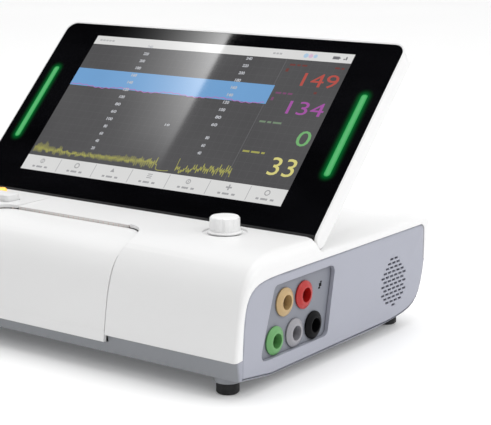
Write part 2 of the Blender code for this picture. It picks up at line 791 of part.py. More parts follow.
def bay_cutter(name, left, right):
    """A bay in the rear wall whose floor stands upright, so that the sockets face straight back."""
    half = PORT_BAY_HEIGHT / 2
    outline = rectangle(left, PORT_Z - half, right, PORT_Z + half, PORT_BAY_CORNER)
    return prism(name, outline, PORT_Y, REAR_Y + OVERRUN, "Y", helper=True)


def port_hole(name, x, width, height):
    low = (x - width / 2 - GAP, PORT_INNER_Y - OVERRUN, PORT_Z - height / 2 - GAP)
    high = (x + width / 2 + GAP, REAR_Y, PORT_Z + height / 2 + GAP)
    return box(name, low, high, helper=True)


def screw_spots():
    spots = {}
    for row, y in (("front", SCREW_FRONT_Y), ("rear", SCREW_REAR_Y)):
        for side, sign in (("left", -1), ("right", 1)):
            spots[f"{row}_{side}"] = (sign * SCREW_X, y)
    return spots


def top_shell():
    crown = nose(CREASE_Y, DECK_Z, 0, NOSE_CROWN_PULL)
    blend = [TOE_ROUND + (DECK_ROUND - TOE_ROUND) * (1 - i / NOSE_STEPS) ** 2 for i in range(NOSE_STEPS)]
    below_toe = TOE_Y - SKIRT_Z * math.tan(TOE_LEAN)
    outline = [(below_toe, 0), (SPLIT_Y, 0), (SPLIT_Y, REAR_SPLIT_Z - OVERRUN)]
    radii = [TOE_ROUND, RIM_ROUND, RIM_ROUND]
    outline += rim_corner()
    radii += [RIM_ROUND] * (CORNER_STEPS + 1)
    outline += [(HINGE_Y, RIM_Z), (HINGE_Y - TROUGH_RADIUS / 2, DECK_Z)]
    radii += [RIM_ROUND, DECK_ROUND]
    outline += crown[:-1]
    radii += blend
    shell = loft("top_shell", side_rings(outline, radii, HALF_WIDTH), WHITE)
    cut(shell, split_cutter("below_split", False, 0), cavity_cutter())

    for name, (x, y) in screw_spots().items():
        top = (DECK_Z if y < TROUGH_FRONT_Y else RECESS_Z) - WALL / 2
        foot = CASE_BOTTOM_Z + BOSS_HEIGHT + GAP
        post = rod(
            f"post_{name}", BOSS_RADIUS, (x, y, foot), top - foot, "Z", helper=True, sides=SMALL_ROUND
        )
        join(shell, post)
    for side, x in (("left", DOOR_LEFT - RUN_GAP), ("right", DOOR_RIGHT + RUN_GAP)):
        ends = sorted((x, x + math.copysign(DOOR_BOSS_SIDE, x)))
        low = (ends[0], DOOR_AXIS_Y - DOOR_BOSS_SIDE / 3, SKIRT_Z + GAP)
        high = (ends[1], DOOR_AXIS_Y + DOOR_BOSS_SIDE * 2 / 3, DOOR_AXIS_Z + DOOR_BOSS_SIDE / 2)
        join(shell, box(f"door_boss_{side}", low, high, helper=True))

    key_ribs(shell)
    trough_span = (-CASE_WIDTH, HINGE_Y, HINGE_Z)
    trough = rod("trough", TROUGH_RADIUS, trough_span, 2 * CASE_WIDTH, "X", helper=True)
    recess_half = BULGE_WIDTH / 2 + RECESS_SIDE_CLEARANCE
    recess_plan = rectangle(
        -recess_half, HINGE_Y + TROUGH_CLEARANCE, recess_half, 2 * REAR_Y, RECESS_CORNER
    )
    recess = prism("bulge_recess", recess_plan, RECESS_Z, DECK_Z, "Z", helper=True)
    opening = prism(
        "door_opening", door_plan(RUN_GAP, CREASE_Y + RUN_GAP), -OVERRUN, DECK_Z + OVERRUN, "Z", helper=True
    )
    slot_side = [
        (CREASE_Y - SLOT_SETBACK, LID_Z - WALL),
        (CREASE_Y + SLOT_SETBACK, LID_Z - WALL),
        (CREASE_Y + SLOT_SETBACK, DECK_Z - SCOOP_DEPTH),
        (TROUGH_FRONT_Y, DECK_Z),
        (CREASE_Y - SLOT_SETBACK, DECK_Z + OVERRUN),
    ]
    slot_ends = (DOOR_CENTRE_X - SLOT_WIDTH / 2, DOOR_CENTRE_X + SLOT_WIDTH / 2)
    slot = prism("paper_slot", slot_side, *slot_ends, "X", helper=True)
    cut(shell, trough, recess, opening, slot)

    dish_floor = (KNOB_X, KNOB_Y, DECK_Z - DISH_DEPTH)
    dish = rod("knob_dish", DISH_RADIUS, dish_floor, DISH_DEPTH + OVERRUN, "Z", helper=True)
    shaft_foot = (KNOB_X, KNOB_Y, CEILING_Z)
    shaft_hole = rod(
        "shaft_hole", SHAFT_RADIUS + RUN_GAP, shaft_foot, DECK_Z - CEILING_Z, "Z", helper=True, sides=SMALL_ROUND
    )
    key_hole = prism("key_hole", key_plan(GAP + RUN_GAP), CEILING_Z, DECK_Z + OVERRUN, "Z", helper=True)
    lamp_foot = (LAMP_X, LAMP_Y, CEILING_Z)
    lamp_hole = rod("lamp_hole", LAMP_RADIUS + GAP, lamp_foot, 2 * (DECK_Z - CEILING_Z), "Z", helper=True)
    cut(shell, pocket_cutter(-1), pocket_cutter(1), dish, shaft_hole, key_hole, lamp_hole)

    cut(shell, bay_cutter("supply_bay", SUPPLY_BAY_LEFT, SUPPLY_BAY_RIGHT))
    cut(shell, bay_cutter("data_bay", DATA_BAY_LEFT, DATA_BAY_RIGHT))
    cut(shell, port_hole("inlet_hole", INLET_X, INLET_WIDTH, INLET_HEIGHT))
    cut(shell, port_hole("rocker_hole", ROCKER_X, ROCKER_WIDTH, ROCKER_HEIGHT))
    cut(shell, port_hole("network_hole", NETWORK_X, NETWORK_WIDTH, NETWORK_HEIGHT))
    cut(shell, port_hole("usb_hole", USB_X, USB_WIDTH, USB_HEIGHT))
    stud_foot = (STUD_X, PORT_INNER_Y - OVERRUN, PORT_Z)
    cut(
        shell,
        rod(
            "stud_hole",
            STUD_RADIUS + GAP,
            stud_foot,
            2 * WALL + OVERRUN,
            "Y",
            helper=True,
            sides=TINY_ROUND,
        ),
    )
    cut(shell, speaker_hole("shell_speaker_hole"), plate_hole("shell_plate_hole"))
    for sign in (-1, 1):
        cut(shell, bracket_slot(sign))
    for name, (x, y) in screw_spots().items():
        foot = (x, y, CASE_BOTTOM_Z)
        cut(
            shell,
            rod(
                f"thread_{name}",
                SCREW_SHANK_RADIUS + GAP,
                foot,
                SCREW_LENGTH * 2,
                "Z",
                helper=True,
                sides=TINY_ROUND,
            ),
        )
    pin_start = (DOOR_LEFT - 2 * DOOR_PIN_LENGTH, DOOR_AXIS_Y, DOOR_AXIS_Z)
    pin_run = DOOR_WIDTH + 4 * DOOR_PIN_LENGTH
    cut(
        shell,
        rod("door_pin_bore", DOOR_PIN_RADIUS + GAP, pin_start, pin_run, "X", helper=True, sides=TINY_ROUND),
    )
    return shell


def key_rib_x():
    """Half the distance between the two ribs that carry the key's switch."""
    return KEY_WIDTH / 2 + KEY_FLANGE + 2 * RUN_GAP


def key_ribs(shell):
    foot = LID_Z - KEY_FLANGE - KEY_TRAVEL - KEY_SWITCH_HEIGHT + GAP
    for side, sign in (("left", -1), ("right", 1)):
        ends = sorted((KEY_X + sign * key_rib_x(), KEY_X + sign * (key_rib_x() + KEY_RIB)))
        low = (ends[0], KEY_Y - KEY_LENGTH / 4, foot)
        join(
            shell,
            box(f"key_rib_{side}", low, (ends[1], KEY_Y + KEY_LENGTH / 4, LID_Z + WALL / 2), helper=True),
        )


def key_plan(margin):
    half_width = KEY_WIDTH / 2 + margin
    half_length = KEY_LENGTH / 2 + margin
    return rectangle(
        KEY_X - half_width, KEY_Y - half_length, KEY_X + half_width, KEY_Y + half_length, KEY_CORNER
    )


def plate_hole(name):
    return prism(
        name, plate_outline(PLATE_LEDGE + GAP), CAVITY_X - WALL, POCKET_X + GAP / 2, "X", helper=True
    )


def speaker_hole(name):
    start = (CAVITY_X - WALL, GRILLE_Y, GRILLE_Z)
    return rod(name, GRILLE_RADIUS, start, 2 * WALL + GAP / 2, "X", helper=True)


def bracket_slot(sign):
    half = BRACKET_WIDTH / 2 + GAP
    reach = BRACKET_NECK_THICKNESS / 2 + GAP
    low = (sign * BRACKET_X - half, HINGE_Y - reach, CEILING_Z - OVERRUN)
    high = (sign * BRACKET_X + half, HINGE_Y + reach, HINGE_Z)
    return box(f"bracket_slot_{'right' if sign > 0 else 'left'}", low, high, helper=True)


def foot_spots():
    spots = {}
    for row, y in (("front", FOOT_FRONT_Y), ("rear", FOOT_REAR_Y)):
        for side, sign in (("left", -1), ("right", 1)):
            spots[f"{row}_{side}"] = (sign * FOOT_X, y)
    return spots


def base_tray():
    path = lower_path(HEEL_STEPS)
    rise = DOOR_OVERHANG / (SKIRT_Z - STRIP_BOTTOM_Z)
    strip_top = (STRIP_Y - STRIP_LEAN_RUN * rise, SKIRT_Z + DOOR_OVERHANG)
    outline = path + [(SPLIT_Y, DECK_Z), (strip_top[0], DECK_Z), strip_top]
    tray = loft("base_tray", side_rings(outline, [LOWER_ROUND] * len(outline), HALF_WIDTH), BASE_GREY)
    cut(tray, split_cutter("above_split", True, -GAP), cavity_cutter())

    for name, (x, y) in foot_spots().items():
        top = FOOT_HEIGHT + FOOT_STEM_LENGTH + WALL
        start = (x, y, CASE_BOTTOM_Z)
        pad = rod(
            f"pad_{name}",
            FOOT_RADIUS + PAD_MARGIN,
            start,
            top - CASE_BOTTOM_Z,
            "Z",
            helper=True,
            sides=SMALL_ROUND,
        )
        join(tray, pad)
    for name, (x, y) in screw_spots().items():
        boss = rod(
            f"boss_{name}",
            BOSS_RADIUS,
            (x, y, CASE_BOTTOM_Z),
            BOSS_HEIGHT,
            "Z",
            helper=True,
            sides=SMALL_ROUND,
        )
        join(tray, boss)
    for i, x in enumerate((BOARD_LEFT + POST_INSET, BOARD_RIGHT - POST_INSET)):
        for j, y in enumerate((BOARD_FRONT_Y + POST_INSET, BOARD_REAR_Y - POST_INSET)):
            height = MAIN_BOARD_Z - CASE_BOTTOM_Z - WALL / 2 - GAP
            foot = (x, y, CASE_BOTTOM_Z + WALL / 2)
            join(
                tray,
                rod(f"board_post_{i}{j}", POST_RADIUS, foot, height, "Z", helper=True, sides=TINY_ROUND),
            )

    paper_low = (PAPER_LEFT, TRAY_FRONT_Y + TRAY_WALL, CASE_BOTTOM_Z + WALL / 2)
    rib_run = PAPER_LENGTH / 2
    for name, x in (("left", PAPER_LEFT), ("right", PAPER_RIGHT - 2 * WALL)):
        low = (x, paper_low[1] + rib_run / 2, paper_low[2])
        high = (x + 2 * WALL, paper_low[1] + rib_run, TRAY_FLOOR_Z - TRAY_WALL - GAP)
        join(tray, box(f"tray_rib_{name}", low, high, helper=True))

    bay_low = (BATTERY_LEFT - COVER_LEDGE - GAP, BATTERY_FRONT_Y - COVER_LEDGE - GAP, 0)
    bay_high = (
        BATTERY_RIGHT + COVER_LEDGE + GAP,
        BATTERY_REAR_Y + COVER_LEDGE + GAP,
        CASE_BOTTOM_Z + COVER_THICKNESS + GAP,
    )
    rim_low = (bay_low[0] - WALL, bay_low[1] - WALL, CASE_BOTTOM_Z)
    rim_high = (bay_high[0] + WALL, bay_high[1] + WALL, bay_high[2] + WALL)
    join(tray, box("battery_rim", rim_low, rim_high, helper=True))
    cut(tray, box("cover_bed", bay_low, bay_high, helper=True))
    well_low = (BATTERY_LEFT - GAP, BATTERY_FRONT_Y - GAP, 0)
    well_high = (BATTERY_RIGHT + GAP, BATTERY_REAR_Y + GAP, BATTERY_HEIGHT + FLOOR_Z)
    cut(tray, box("battery_well", well_low, well_high, helper=True))

    cut(tray, pocket_cutter(-1), pocket_cutter(1))
    sweep = math.hypot(DOOR_AXIS_INSET, DOOR_AXIS_RISE) + RUN_GAP
    sweep_start = (DOOR_LEFT - RUN_GAP, DOOR_AXIS_Y, DOOR_AXIS_Z)
    cut(tray, rod("door_sweep", sweep, sweep_start, DOOR_WIDTH + 2 * RUN_GAP, "X", helper=True))
    cut(tray, speaker_hole("tray_speaker_hole"), plate_hole("tray_plate_hole"))
    for name, (x, y) in foot_spots().items():
        hole = rod(
            f"foot_hole_{name}", FOOT_STEM_RADIUS + GAP, (x, y, 0), FOOT_HEIGHT + FOOT_STEM_LENGTH + GAP, "Z", helper=True,
            sides=TINY_ROUND,
        )
        cut(tray, hole)
    for name, (x, y) in screw_spots().items():
        sink = rod(
            f"sink_{name}", SCREW_HEAD_RADIUS + GAP, (x, y, 0), CASE_BOTTOM_Z + SCREW_SINK, "Z", helper=True,
            sides=TINY_ROUND,
        )
        bore = rod(
            f"bore_{name}", SCREW_SHANK_RADIUS + GAP, (x, y, 0), CASE_BOTTOM_Z + 2 * BOSS_HEIGHT, "Z", helper=True,
            sides=TINY_ROUND,
        )
        cut(tray, sink, bore)
    return tray


def side_panel(sign):
    name = "side_panel_right" if sign > 0 else "side_panel_left"
    path = panel_path()
    inset = moved_in(path, [PANEL_CHAMFER] * len(path))
    inner = sign * (POCKET_X + GAP)
    edge = sign * (HALF_WIDTH - PANEL_CHAMFER)
    rings = [
        [(inner, y, z) for y, z in path],
        [(edge, y, z) for y, z in path],
        [(sign * HALF_WIDTH, y, z) for y, z in inset],
    ]
    return loft(name, rings, GREY)


def grille_cutter():
    """Rows of short slots within a circle, every second row shifted by half a pitch."""
    bm = bmesh.new()
    size = (2 * (PANEL_THICKNESS + OVERRUN), GRILLE_SLOT_LENGTH, GRILLE_SLOT_HEIGHT)
    for row in range(GRILLE_ROWS):
        z = (row - (GRILLE_ROWS - 1) / 2) * GRILLE_ROW_PITCH
        half_row = math.sqrt(GRILLE_RADIUS**2 - z**2) - GRILLE_SLOT_LENGTH / 2
        shift = GRILLE_SLOT_PITCH / 2 if row % 2 else 0
        reach = math.ceil(GRILLE_RADIUS / GRILLE_SLOT_PITCH)
        for column in range(-reach, reach + 1):
            y = column * GRILLE_SLOT_PITCH + shift
            if abs(y) > half_row:
                continue
            middle = (HALF_WIDTH, GRILLE_Y + y, GRILLE_Z + z)
            shape = Matrix.Translation(middle) @ Matrix.Diagonal((*size, 1.0))
            bmesh.ops.create_cube(bm, size=1.0, matrix=shape)
    return put("grille_slots", mesh_of("grille_slots", bm), helper=True)


def right_panel():
    panel = side_panel(1)
    window = prism("plate_window", plate_outline(0), POCKET_X, HALF_WIDTH + OVERRUN, "X", helper=True)
    cut(panel, window, grille_cutter())
    return panel


SOCKETS = {
    "socket_toco": (0, SOCKET_TOP_Z, BEIGE),
    "socket_ultrasound_1": (1, SOCKET_TOP_Z, RED),
    "socket_marker": (-0.5, SOCKET_BOTTOM_Z, GREEN),
    "socket_ultrasound_2": (0.5, SOCKET_BOTTOM_Z, PALE_GREY),
    "socket_scalp_electrode": (1.5, SOCKET_BOTTOM_Z, BLACK),
}


def connectors():
    plate = prism(
        "connector_plate", plate_outline(PLATE_LEDGE), PLATE_X - PLATE_THICKNESS, PLATE_X, "X", DARK_GREY
    )
    base = PLATE_X + GAP
    for name, (step, z, finish) in SOCKETS.items():
        y = SOCKET_TOP_Y + step * SOCKET_PITCH
        hole_start = (PLATE_X - 2 * PLATE_THICKNESS, y, z)
        run = 4 * PLATE_THICKNESS
        cut(
            plate,
            rod(
                f"{name}_hole",
                SOCKET_BODY_RADIUS + GAP,
                hole_start,
                run,
                "X",
                helper=True,
                sides=SMALL_ROUND,
            ),
        )
        face = HALF_WIDTH - base
        profile = [
            (0, SOCKET_PIN_RECESS_Z),
            (SOCKET_PIN_RADIUS, SOCKET_PIN_RECESS_Z),
            (SOCKET_PIN_RADIUS, face - SOCKET_BORE_DEPTH),
            (SOCKET_BORE_RADIUS, face - SOCKET_BORE_DEPTH),
            (SOCKET_BORE_RADIUS, face),
            (SOCKET_FACE_RADIUS, face),
            (SOCKET_FACE_RADIUS + SOCKET_FLANGE, face - SOCKET_FLANGE / 2),
            (SOCKET_BASE_RADIUS, SOCKET_FLANGE),
            (SOCKET_BASE_RADIUS, 0),
            (SOCKET_BODY_RADIUS, 0),
            (SOCKET_BODY_RADIUS, -SOCKET_BODY_LENGTH),
            (0, -SOCKET_BODY_LENGTH),
        ]
        socket = turned(name, profile, finish)
        socket.location = (base, y, z)
        socket.rotation_euler = (0, math.radians(90), 0)
    return plate


def speaker():
    front = CAVITY_X - GAP
    cone_depth = SPEAKER_DEPTH / 2
    profile = [
        (0, -SPEAKER_RIM),
        (SPEAKER_MAGNET_RADIUS, -SPEAKER_RIM),
        (GRILLE_RADIUS, 0),
        (SPEAKER_RADIUS, 0),
        (SPEAKER_RADIUS, -SPEAKER_RIM),
        (SPEAKER_MAGNET_RADIUS, -cone_depth),
        (SPEAKER_MAGNET_RADIUS, -SPEAKER_DEPTH),
        (0, -SPEAKER_DEPTH),
    ]
    made = turned("loudspeaker", profile, BLACK)
    made.location = (front, GRILLE_Y, GRILLE_Z)
    made.rotation_euler = (0, math.radians(90), 0)
    return made


def feet():
    for name, (x, y) in foot_spots().items():
        profile = [
            (0, FOOT_HEIGHT + FOOT_STEM_LENGTH),
            (FOOT_STEM_RADIUS, FOOT_HEIGHT + FOOT_STEM_LENGTH),
            (FOOT_STEM_RADIUS, FOOT_HEIGHT - GAP),
            (FOOT_RADIUS, FOOT_HEIGHT - GAP),
            (FOOT_RADIUS, FOOT_CHAMFER),
            (FOOT_RADIUS - FOOT_CHAMFER, 0),
            (0, 0),
        ]
        foot = turned(f"foot_{name}", profile, RUBBER, sides=SMALL_ROUND)
        foot.location = (x, y, 0)


def screws():
    for name, (x, y) in screw_spots().items():
        seat = CASE_BOTTOM_Z + SCREW_SINK - GAP
        profile = [
            (0, seat + SCREW_LENGTH),
            (SCREW_SHANK_RADIUS, seat + SCREW_LENGTH),
            (SCREW_SHANK_RADIUS, seat),
            (SCREW_HEAD_RADIUS, seat),
            (SCREW_HEAD_RADIUS, seat - SCREW_HEAD_HEIGHT),
            (0, seat - SCREW_HEAD_HEIGHT),
        ]
        screw = turned(f"case_screw_{name}", profile, STEEL, sides=TINY_ROUND)
        screw.location = (x, y, 0)
        low = (x - SCREW_HEAD_RADIUS * DRIVE_LENGTH_SHARE, y - SCREW_HEAD_RADIUS * DRIVE_WIDTH_SHARE, 0)
        high = (2 * x - low[0], 2 * y - low[1], seat - SCREW_HEAD_HEIGHT / 2)
        cut(screw, box(f"drive_{name}", low, high, helper=True))


# Knob, key and lamp

def knob():
    floor = DECK_Z - DISH_DEPTH + KNOB_TRAVEL + GAP
    holder = bpy.data.objects.new("knob_axis", None)
    PARTS.objects.link(holder)
    holder.location = (KNOB_X, KNOB_Y, floor)
    profile = [
        (0, KNOB_HEIGHT),
        (KNOB_TOP_RADIUS - KNOB_TOP_CHAMFER, KNOB_HEIGHT),
        (KNOB_TOP_RADIUS, KNOB_HEIGHT - KNOB_TOP_CHAMFER),
        (KNOB_BASE_RADIUS - KNOB_SKIRT, KNOB_SKIRT),
        (KNOB_BASE_RADIUS, KNOB_SKIRT / 2),
        (KNOB_BASE_RADIUS, 0),
        (SHAFT_RADIUS + GAP, 0),
        (SHAFT_RADIUS + GAP, KNOB_BORE_DEPTH),
        (0, KNOB_BORE_DEPTH),
    ]
    made = turned("control_knob", profile, WHITE)
    carry(holder, made)
    ring = KNOB_TOP_RADIUS + KNOB_FLUTE_RADIUS - KNOB_FLUTE_BITE
    for i in range(KNOB_FLUTES):
        angle = 2 * math.pi * (i + FLUTE_PHASE_SHARE) / KNOB_FLUTES
        start = (ring * math.cos(angle), ring * math.sin(angle), KNOB_SKIRT * FLUTE_START_SHARE)
        flute = rod(
            f"knob_flute_{i}", KNOB_FLUTE_RADIUS, start, KNOB_HEIGHT, "Z", helper=True, sides=TINY_ROUND
        )
        cut(made, flute)
        carry(holder, flute)
    encoder_top = LID_Z - GAP
    shaft_foot = encoder_top + KNOB_TRAVEL + GAP - floor
    shaft = rod(
        "knob_shaft",
        SHAFT_RADIUS,
        (0, 0, shaft_foot),
        KNOB_BORE_DEPTH - GAP - shaft_foot,
        "Z",
        STEEL,
        sides=SMALL_ROUND,
    )
    carry(holder, shaft)
    half = ENCODER_SIDE / 2
    low = (KNOB_X - half, KNOB_Y - half, encoder_top - ENCODER_HEIGHT)
    high = (KNOB_X + half, KNOB_Y + half, encoder_top)
    box("knob_encoder", low, high, BLACK)
    return made


def key_and_lamp():
    body_top = DECK_Z + KEY_PROUD
    flange_top = LID_Z - GAP
    flange_foot = flange_top - KEY_FLANGE
    plan = key_plan(0)
    top_plan = moved_in(plan, [KEY_EDGE] * len(plan))
    rings = [
        [(x, y, flange_foot) for x, y in plan],
        [(x, y, body_top - KEY_EDGE) for x, y in plan],
        [(x, y, body_top) for x, y in top_plan],
    ]
    key = loft("door_release_key", rings, WHITE)
    wide = key_plan(KEY_FLANGE + RUN_GAP)
    join(key, prism("key_flange", wide, flange_foot, flange_top, "Z", helper=True))
    half = KEY_SWITCH_SIDE / 2
    switch_top = flange_foot - KEY_TRAVEL - GAP
    board_z = switch_top - KEY_SWITCH_HEIGHT
    low = (KEY_X - half, KEY_Y - half, board_z)
    switch = box("door_release_switch", low, (KEY_X + half, KEY_Y + half, switch_top), BLACK)
    board_low = (KEY_X - key_rib_x() - KEY_RIB, KEY_Y - KEY_LENGTH / 2, board_z - BOARD_THICKNESS)
    board_high = (KEY_X + key_rib_x() + KEY_RIB, KEY_Y + KEY_LENGTH / 2, board_z + GAP)
    join(switch, box("switch_board", board_low, board_high, helper=True))

    lamp_profile = [
        (0, DECK_Z + LAMP_PROUD),
        (LAMP_RADIUS - LAMP_EDGE, DECK_Z + LAMP_PROUD),
        (LAMP_RADIUS, DECK_Z + LAMP_PROUD - LAMP_EDGE),
        (LAMP_RADIUS, LID_Z - GAP),
        (LAMP_RADIUS + LAMP_FLANGE, LID_Z - GAP),
        (LAMP_RADIUS + LAMP_FLANGE, LID_Z - GAP - LAMP_FLANGE),
        (LAMP_RADIUS - LAMP_FLANGE, LID_Z - GAP - LAMP_FLANGE),
        (LAMP_RADIUS - LAMP_FLANGE, LID_Z - LAMP_LENGTH),
        (0, LID_Z - LAMP_LENGTH),
    ]
    lamp = turned("amber_lamp", lamp_profile, AMBER, sides=SMALL_ROUND)
    lamp.location = (LAMP_X, LAMP_Y, 0)
    return key


# Printer

def printer_door():
    crown_z = DECK_Z - DOOR_DROP
    outer = nose(CREASE_Y, crown_z, DOOR_CROWN_DROP, DOOR_CROWN_PULL) + [(FRONT_Y, DOOR_LIP_Z)]
    inner = moved_in(outer, [DOOR_THICKNESS] * len(outer), closed=False)
    skin = prism("printer_door", outer + inner[::-1], DOOR_LEFT - OVERRUN, DOOR_RIGHT + OVERRUN, "X", WHITE)
    plan = prism("door_plan", door_plan(0, CREASE_Y), 0, DECK_Z, "Z", helper=True)
    keep(skin, plan)
    start = (DOOR_LEFT + GAP, DOOR_AXIS_Y, DOOR_AXIS_Z)
    bead = rod(
        "door_bead", DOOR_BEAD_RADIUS, start, DOOR_WIDTH - 2 * GAP, "X", helper=True, sides=SMALL_ROUND
    )
    pin_start = (DOOR_LEFT - DOOR_PIN_LENGTH, DOOR_AXIS_Y, DOOR_AXIS_Z)
    pin = rod(
        "door_pin",
        DOOR_PIN_RADIUS,
        pin_start,
        DOOR_WIDTH + 2 * DOOR_PIN_LENGTH,
        "X",
        helper=True,
        sides=TINY_ROUND,
    )
    join(skin, bead, pin)
    root_z = crown_z - DOOR_THICKNESS * CHEEK_ROOT_SHARE
    bore_start = (DOOR_LEFT, ROLLER_Y, ROLLER_Z)
    bore = rod(
        "roller_bore",
        ROLLER_SHAFT_RADIUS + GAP,
        bore_start,
        DOOR_WIDTH,
        "X",
        helper=True,
        sides=SMALL_ROUND,
    )
    eye = arc((ROLLER_Y, ROLLER_Z), CHEEK_RADIUS, math.radians(180), math.radians(360), NOSE_STEPS)
    cheek = eye + [(ROLLER_Y + CHEEK_RADIUS, root_z), (ROLLER_Y - CHEEK_RADIUS, root_z)]
    for side, x in (("left", PAPER_LEFT - RUN_GAP - CHEEK_THICKNESS), ("right", PAPER_RIGHT + RUN_GAP)):
        join(skin, prism(f"cheek_{side}", cheek, x, x + CHEEK_THICKNESS, "X", helper=True))
    cut(skin, bore)
    return skin


def gear(name, teeth, centre, phase, low_x, bore, finish=BEIGE):
    """A spur gear about an X axis; phase is the angle of one tooth's middle, from +Y towards +Z."""
    pitch = GEAR_MODULE * teeth / 2
    tip = pitch + GEAR_MODULE * TOOTH_TIP_SHARE
    root = pitch - GEAR_MODULE * TOOTH_ROOT_SHARE
    step = 2 * math.pi / teeth
    tip_half = step * TOOTH_TIP_WIDTH_SHARE / 2
    root_half = step * TOOTH_ROOT_WIDTH_SHARE / 2
    outline = []
    for i in range(teeth):
        middle = phase + i * step
        for radius, offset in ((root, -root_half), (tip, -tip_half), (tip, tip_half), (root, root_half)):
            angle = middle + offset
            outline.append((centre[0] + radius * math.cos(angle), centre[1] + radius * math.sin(angle)))
    made = prism(name, outline, low_x, low_x + GEAR_WIDTH, "X", finish)
    start = (low_x - OVERRUN, *centre)
    cut(
        made,
        rod(
            f"{name}_bore", bore + GAP, start, GEAR_WIDTH + 2 * OVERRUN, "X", helper=True, sides=SMALL_ROUND
        ),
    )
    return made


def printer():
    left = PAPER_LEFT - CHEEK_THICKNESS - 2 * RUN_GAP
    roller = rod("platen_roller", ROLLER_RADIUS, (PAPER_LEFT, *ROLLER_AXIS), PAPER_WIDTH, "X", RUBBER)
    shaft_run = GEAR_X + GEAR_WIDTH - left
    join(
        roller,
        rod(
            "roller_shaft",
            ROLLER_SHAFT_RADIUS,
            (left, *ROLLER_AXIS),
            shaft_run,
            "X",
            helper=True,
            sides=SMALL_ROUND,
        ),
    )

    idler_step = 2 * math.pi / IDLER_TEETH
    idler_phase = IDLER_ANGLE + math.pi + idler_step / 2
    ahead = (idler_phase - PINION_ANGLE) % idler_step
    pinion_phase = PINION_ANGLE + math.pi - ahead * IDLER_TEETH / PINION_TEETH + math.pi / PINION_TEETH
    gear("platen_gear", PLATEN_TEETH, ROLLER_AXIS, IDLER_ANGLE, GEAR_X, ROLLER_SHAFT_RADIUS)
    gear("idler_gear", IDLER_TEETH, IDLER_AXIS, idler_phase, GEAR_X, AXLE_RADIUS)
    gear("motor_pinion", PINION_TEETH, PINION_AXIS, pinion_phase, GEAR_X, AXLE_RADIUS, BRASS)

    plate_low = (GEAR_PLATE_X, ROLLER_Y + ROLLER_RADIUS, FLOOR_Z + GAP)
    plate_high = (GEAR_PLATE_X + GEAR_PLATE_THICKNESS, PINION_AXIS[0] + MOTOR_RADIUS, ROLLER_Z)
    plate = box("gear_plate", plate_low, plate_high, STEEL)
    axle_run = GEAR_WIDTH + 2 * RUN_GAP + GEAR_PLATE_THICKNESS / 2
    join(
        plate,
        rod("idler_axle", AXLE_RADIUS, (GEAR_X, *IDLER_AXIS), axle_run, "X", helper=True, sides=TINY_ROUND),
    )
    hole_start = (GEAR_X, *PINION_AXIS)
    hole = rod(
        "pinion_hole",
        AXLE_RADIUS + RUN_GAP,
        hole_start,
        2 * MOTOR_LENGTH,
        "X",
        helper=True,
        sides=SMALL_ROUND,
    )
    cut(plate, hole)
    motor_x = GEAR_PLATE_X + GEAR_PLATE_THICKNESS + GAP
    motor = rod("paper_motor", MOTOR_RADIUS, (motor_x, *PINION_AXIS), MOTOR_LENGTH, "X", STEEL)
    motor_bore = rod(
        "motor_bore",
        AXLE_RADIUS + GAP,
        (motor_x - OVERRUN, *PINION_AXIS),
        MOTOR_LENGTH / 2,
        "X",
        helper=True,
        sides=TINY_ROUND,
    )
    cut(motor, motor_bore)
    shaft_end = motor_x + MOTOR_LENGTH / 2 - 2 * OVERRUN
    rod(
        "motor_shaft", AXLE_RADIUS, (GEAR_X, *PINION_AXIS), shaft_end - GEAR_X, "X", STEEL, sides=TINY_ROUND
    )

    inner_low = (PAPER_LEFT - PAPER_SIDE_CLEARANCE, TRAY_FRONT_Y + TRAY_WALL, TRAY_FLOOR_Z)
    inner_high = (
        PAPER_RIGHT + PAPER_SIDE_CLEARANCE,
        TRAY_FRONT_Y + TRAY_WALL + PAPER_LENGTH + 2 * PAPER_SIDE_CLEARANCE,
        TRAY_FLOOR_Z + PAPER_THICKNESS + PAPER_SIDE_CLEARANCE,
    )
    outer_low = tuple(low - TRAY_WALL for low in inner_low)
    outer_high = (inner_high[0] + TRAY_WALL, inner_high[1] + TRAY_WALL, inner_high[2] + TRAY_WALL)
    tray = box("paper_tray", outer_low, outer_high, DARK_GREY)
    head_y = ROLLER_Y + ROLLER_RADIUS + GAP
    well_high = (inner_high[0], head_y, outer_high[2] + OVERRUN)
    cut(tray, box("tray_well", inner_low, well_high, helper=True))
    rear_low = (inner_low[0], inner_low[1] + OVERRUN, inner_low[2])
    cut(tray, box("tray_tunnel", rear_low, inner_high, helper=True))
    sheet_low = (PAPER_LEFT, inner_low[1] + PAPER_SIDE_CLEARANCE, TRAY_FLOOR_Z + GAP)
    sheet_high = (PAPER_RIGHT, sheet_low[1] + PAPER_LENGTH, TRAY_FLOOR_Z + PAPER_THICKNESS)
    box("chart_paper", sheet_low, sheet_high, PAPER)
    head_low = (PAPER_LEFT, head_y, outer_high[2] + GAP)
    box(
        "print_head",
        head_low,
        (PAPER_RIGHT, head_y + HEAD_THICKNESS, outer_high[2] + GAP + HEAD_HEIGHT),
        BRASS,
    )
    return tray


# Display, modelled lying flat: +Y runs up the screen and +Z out of its face

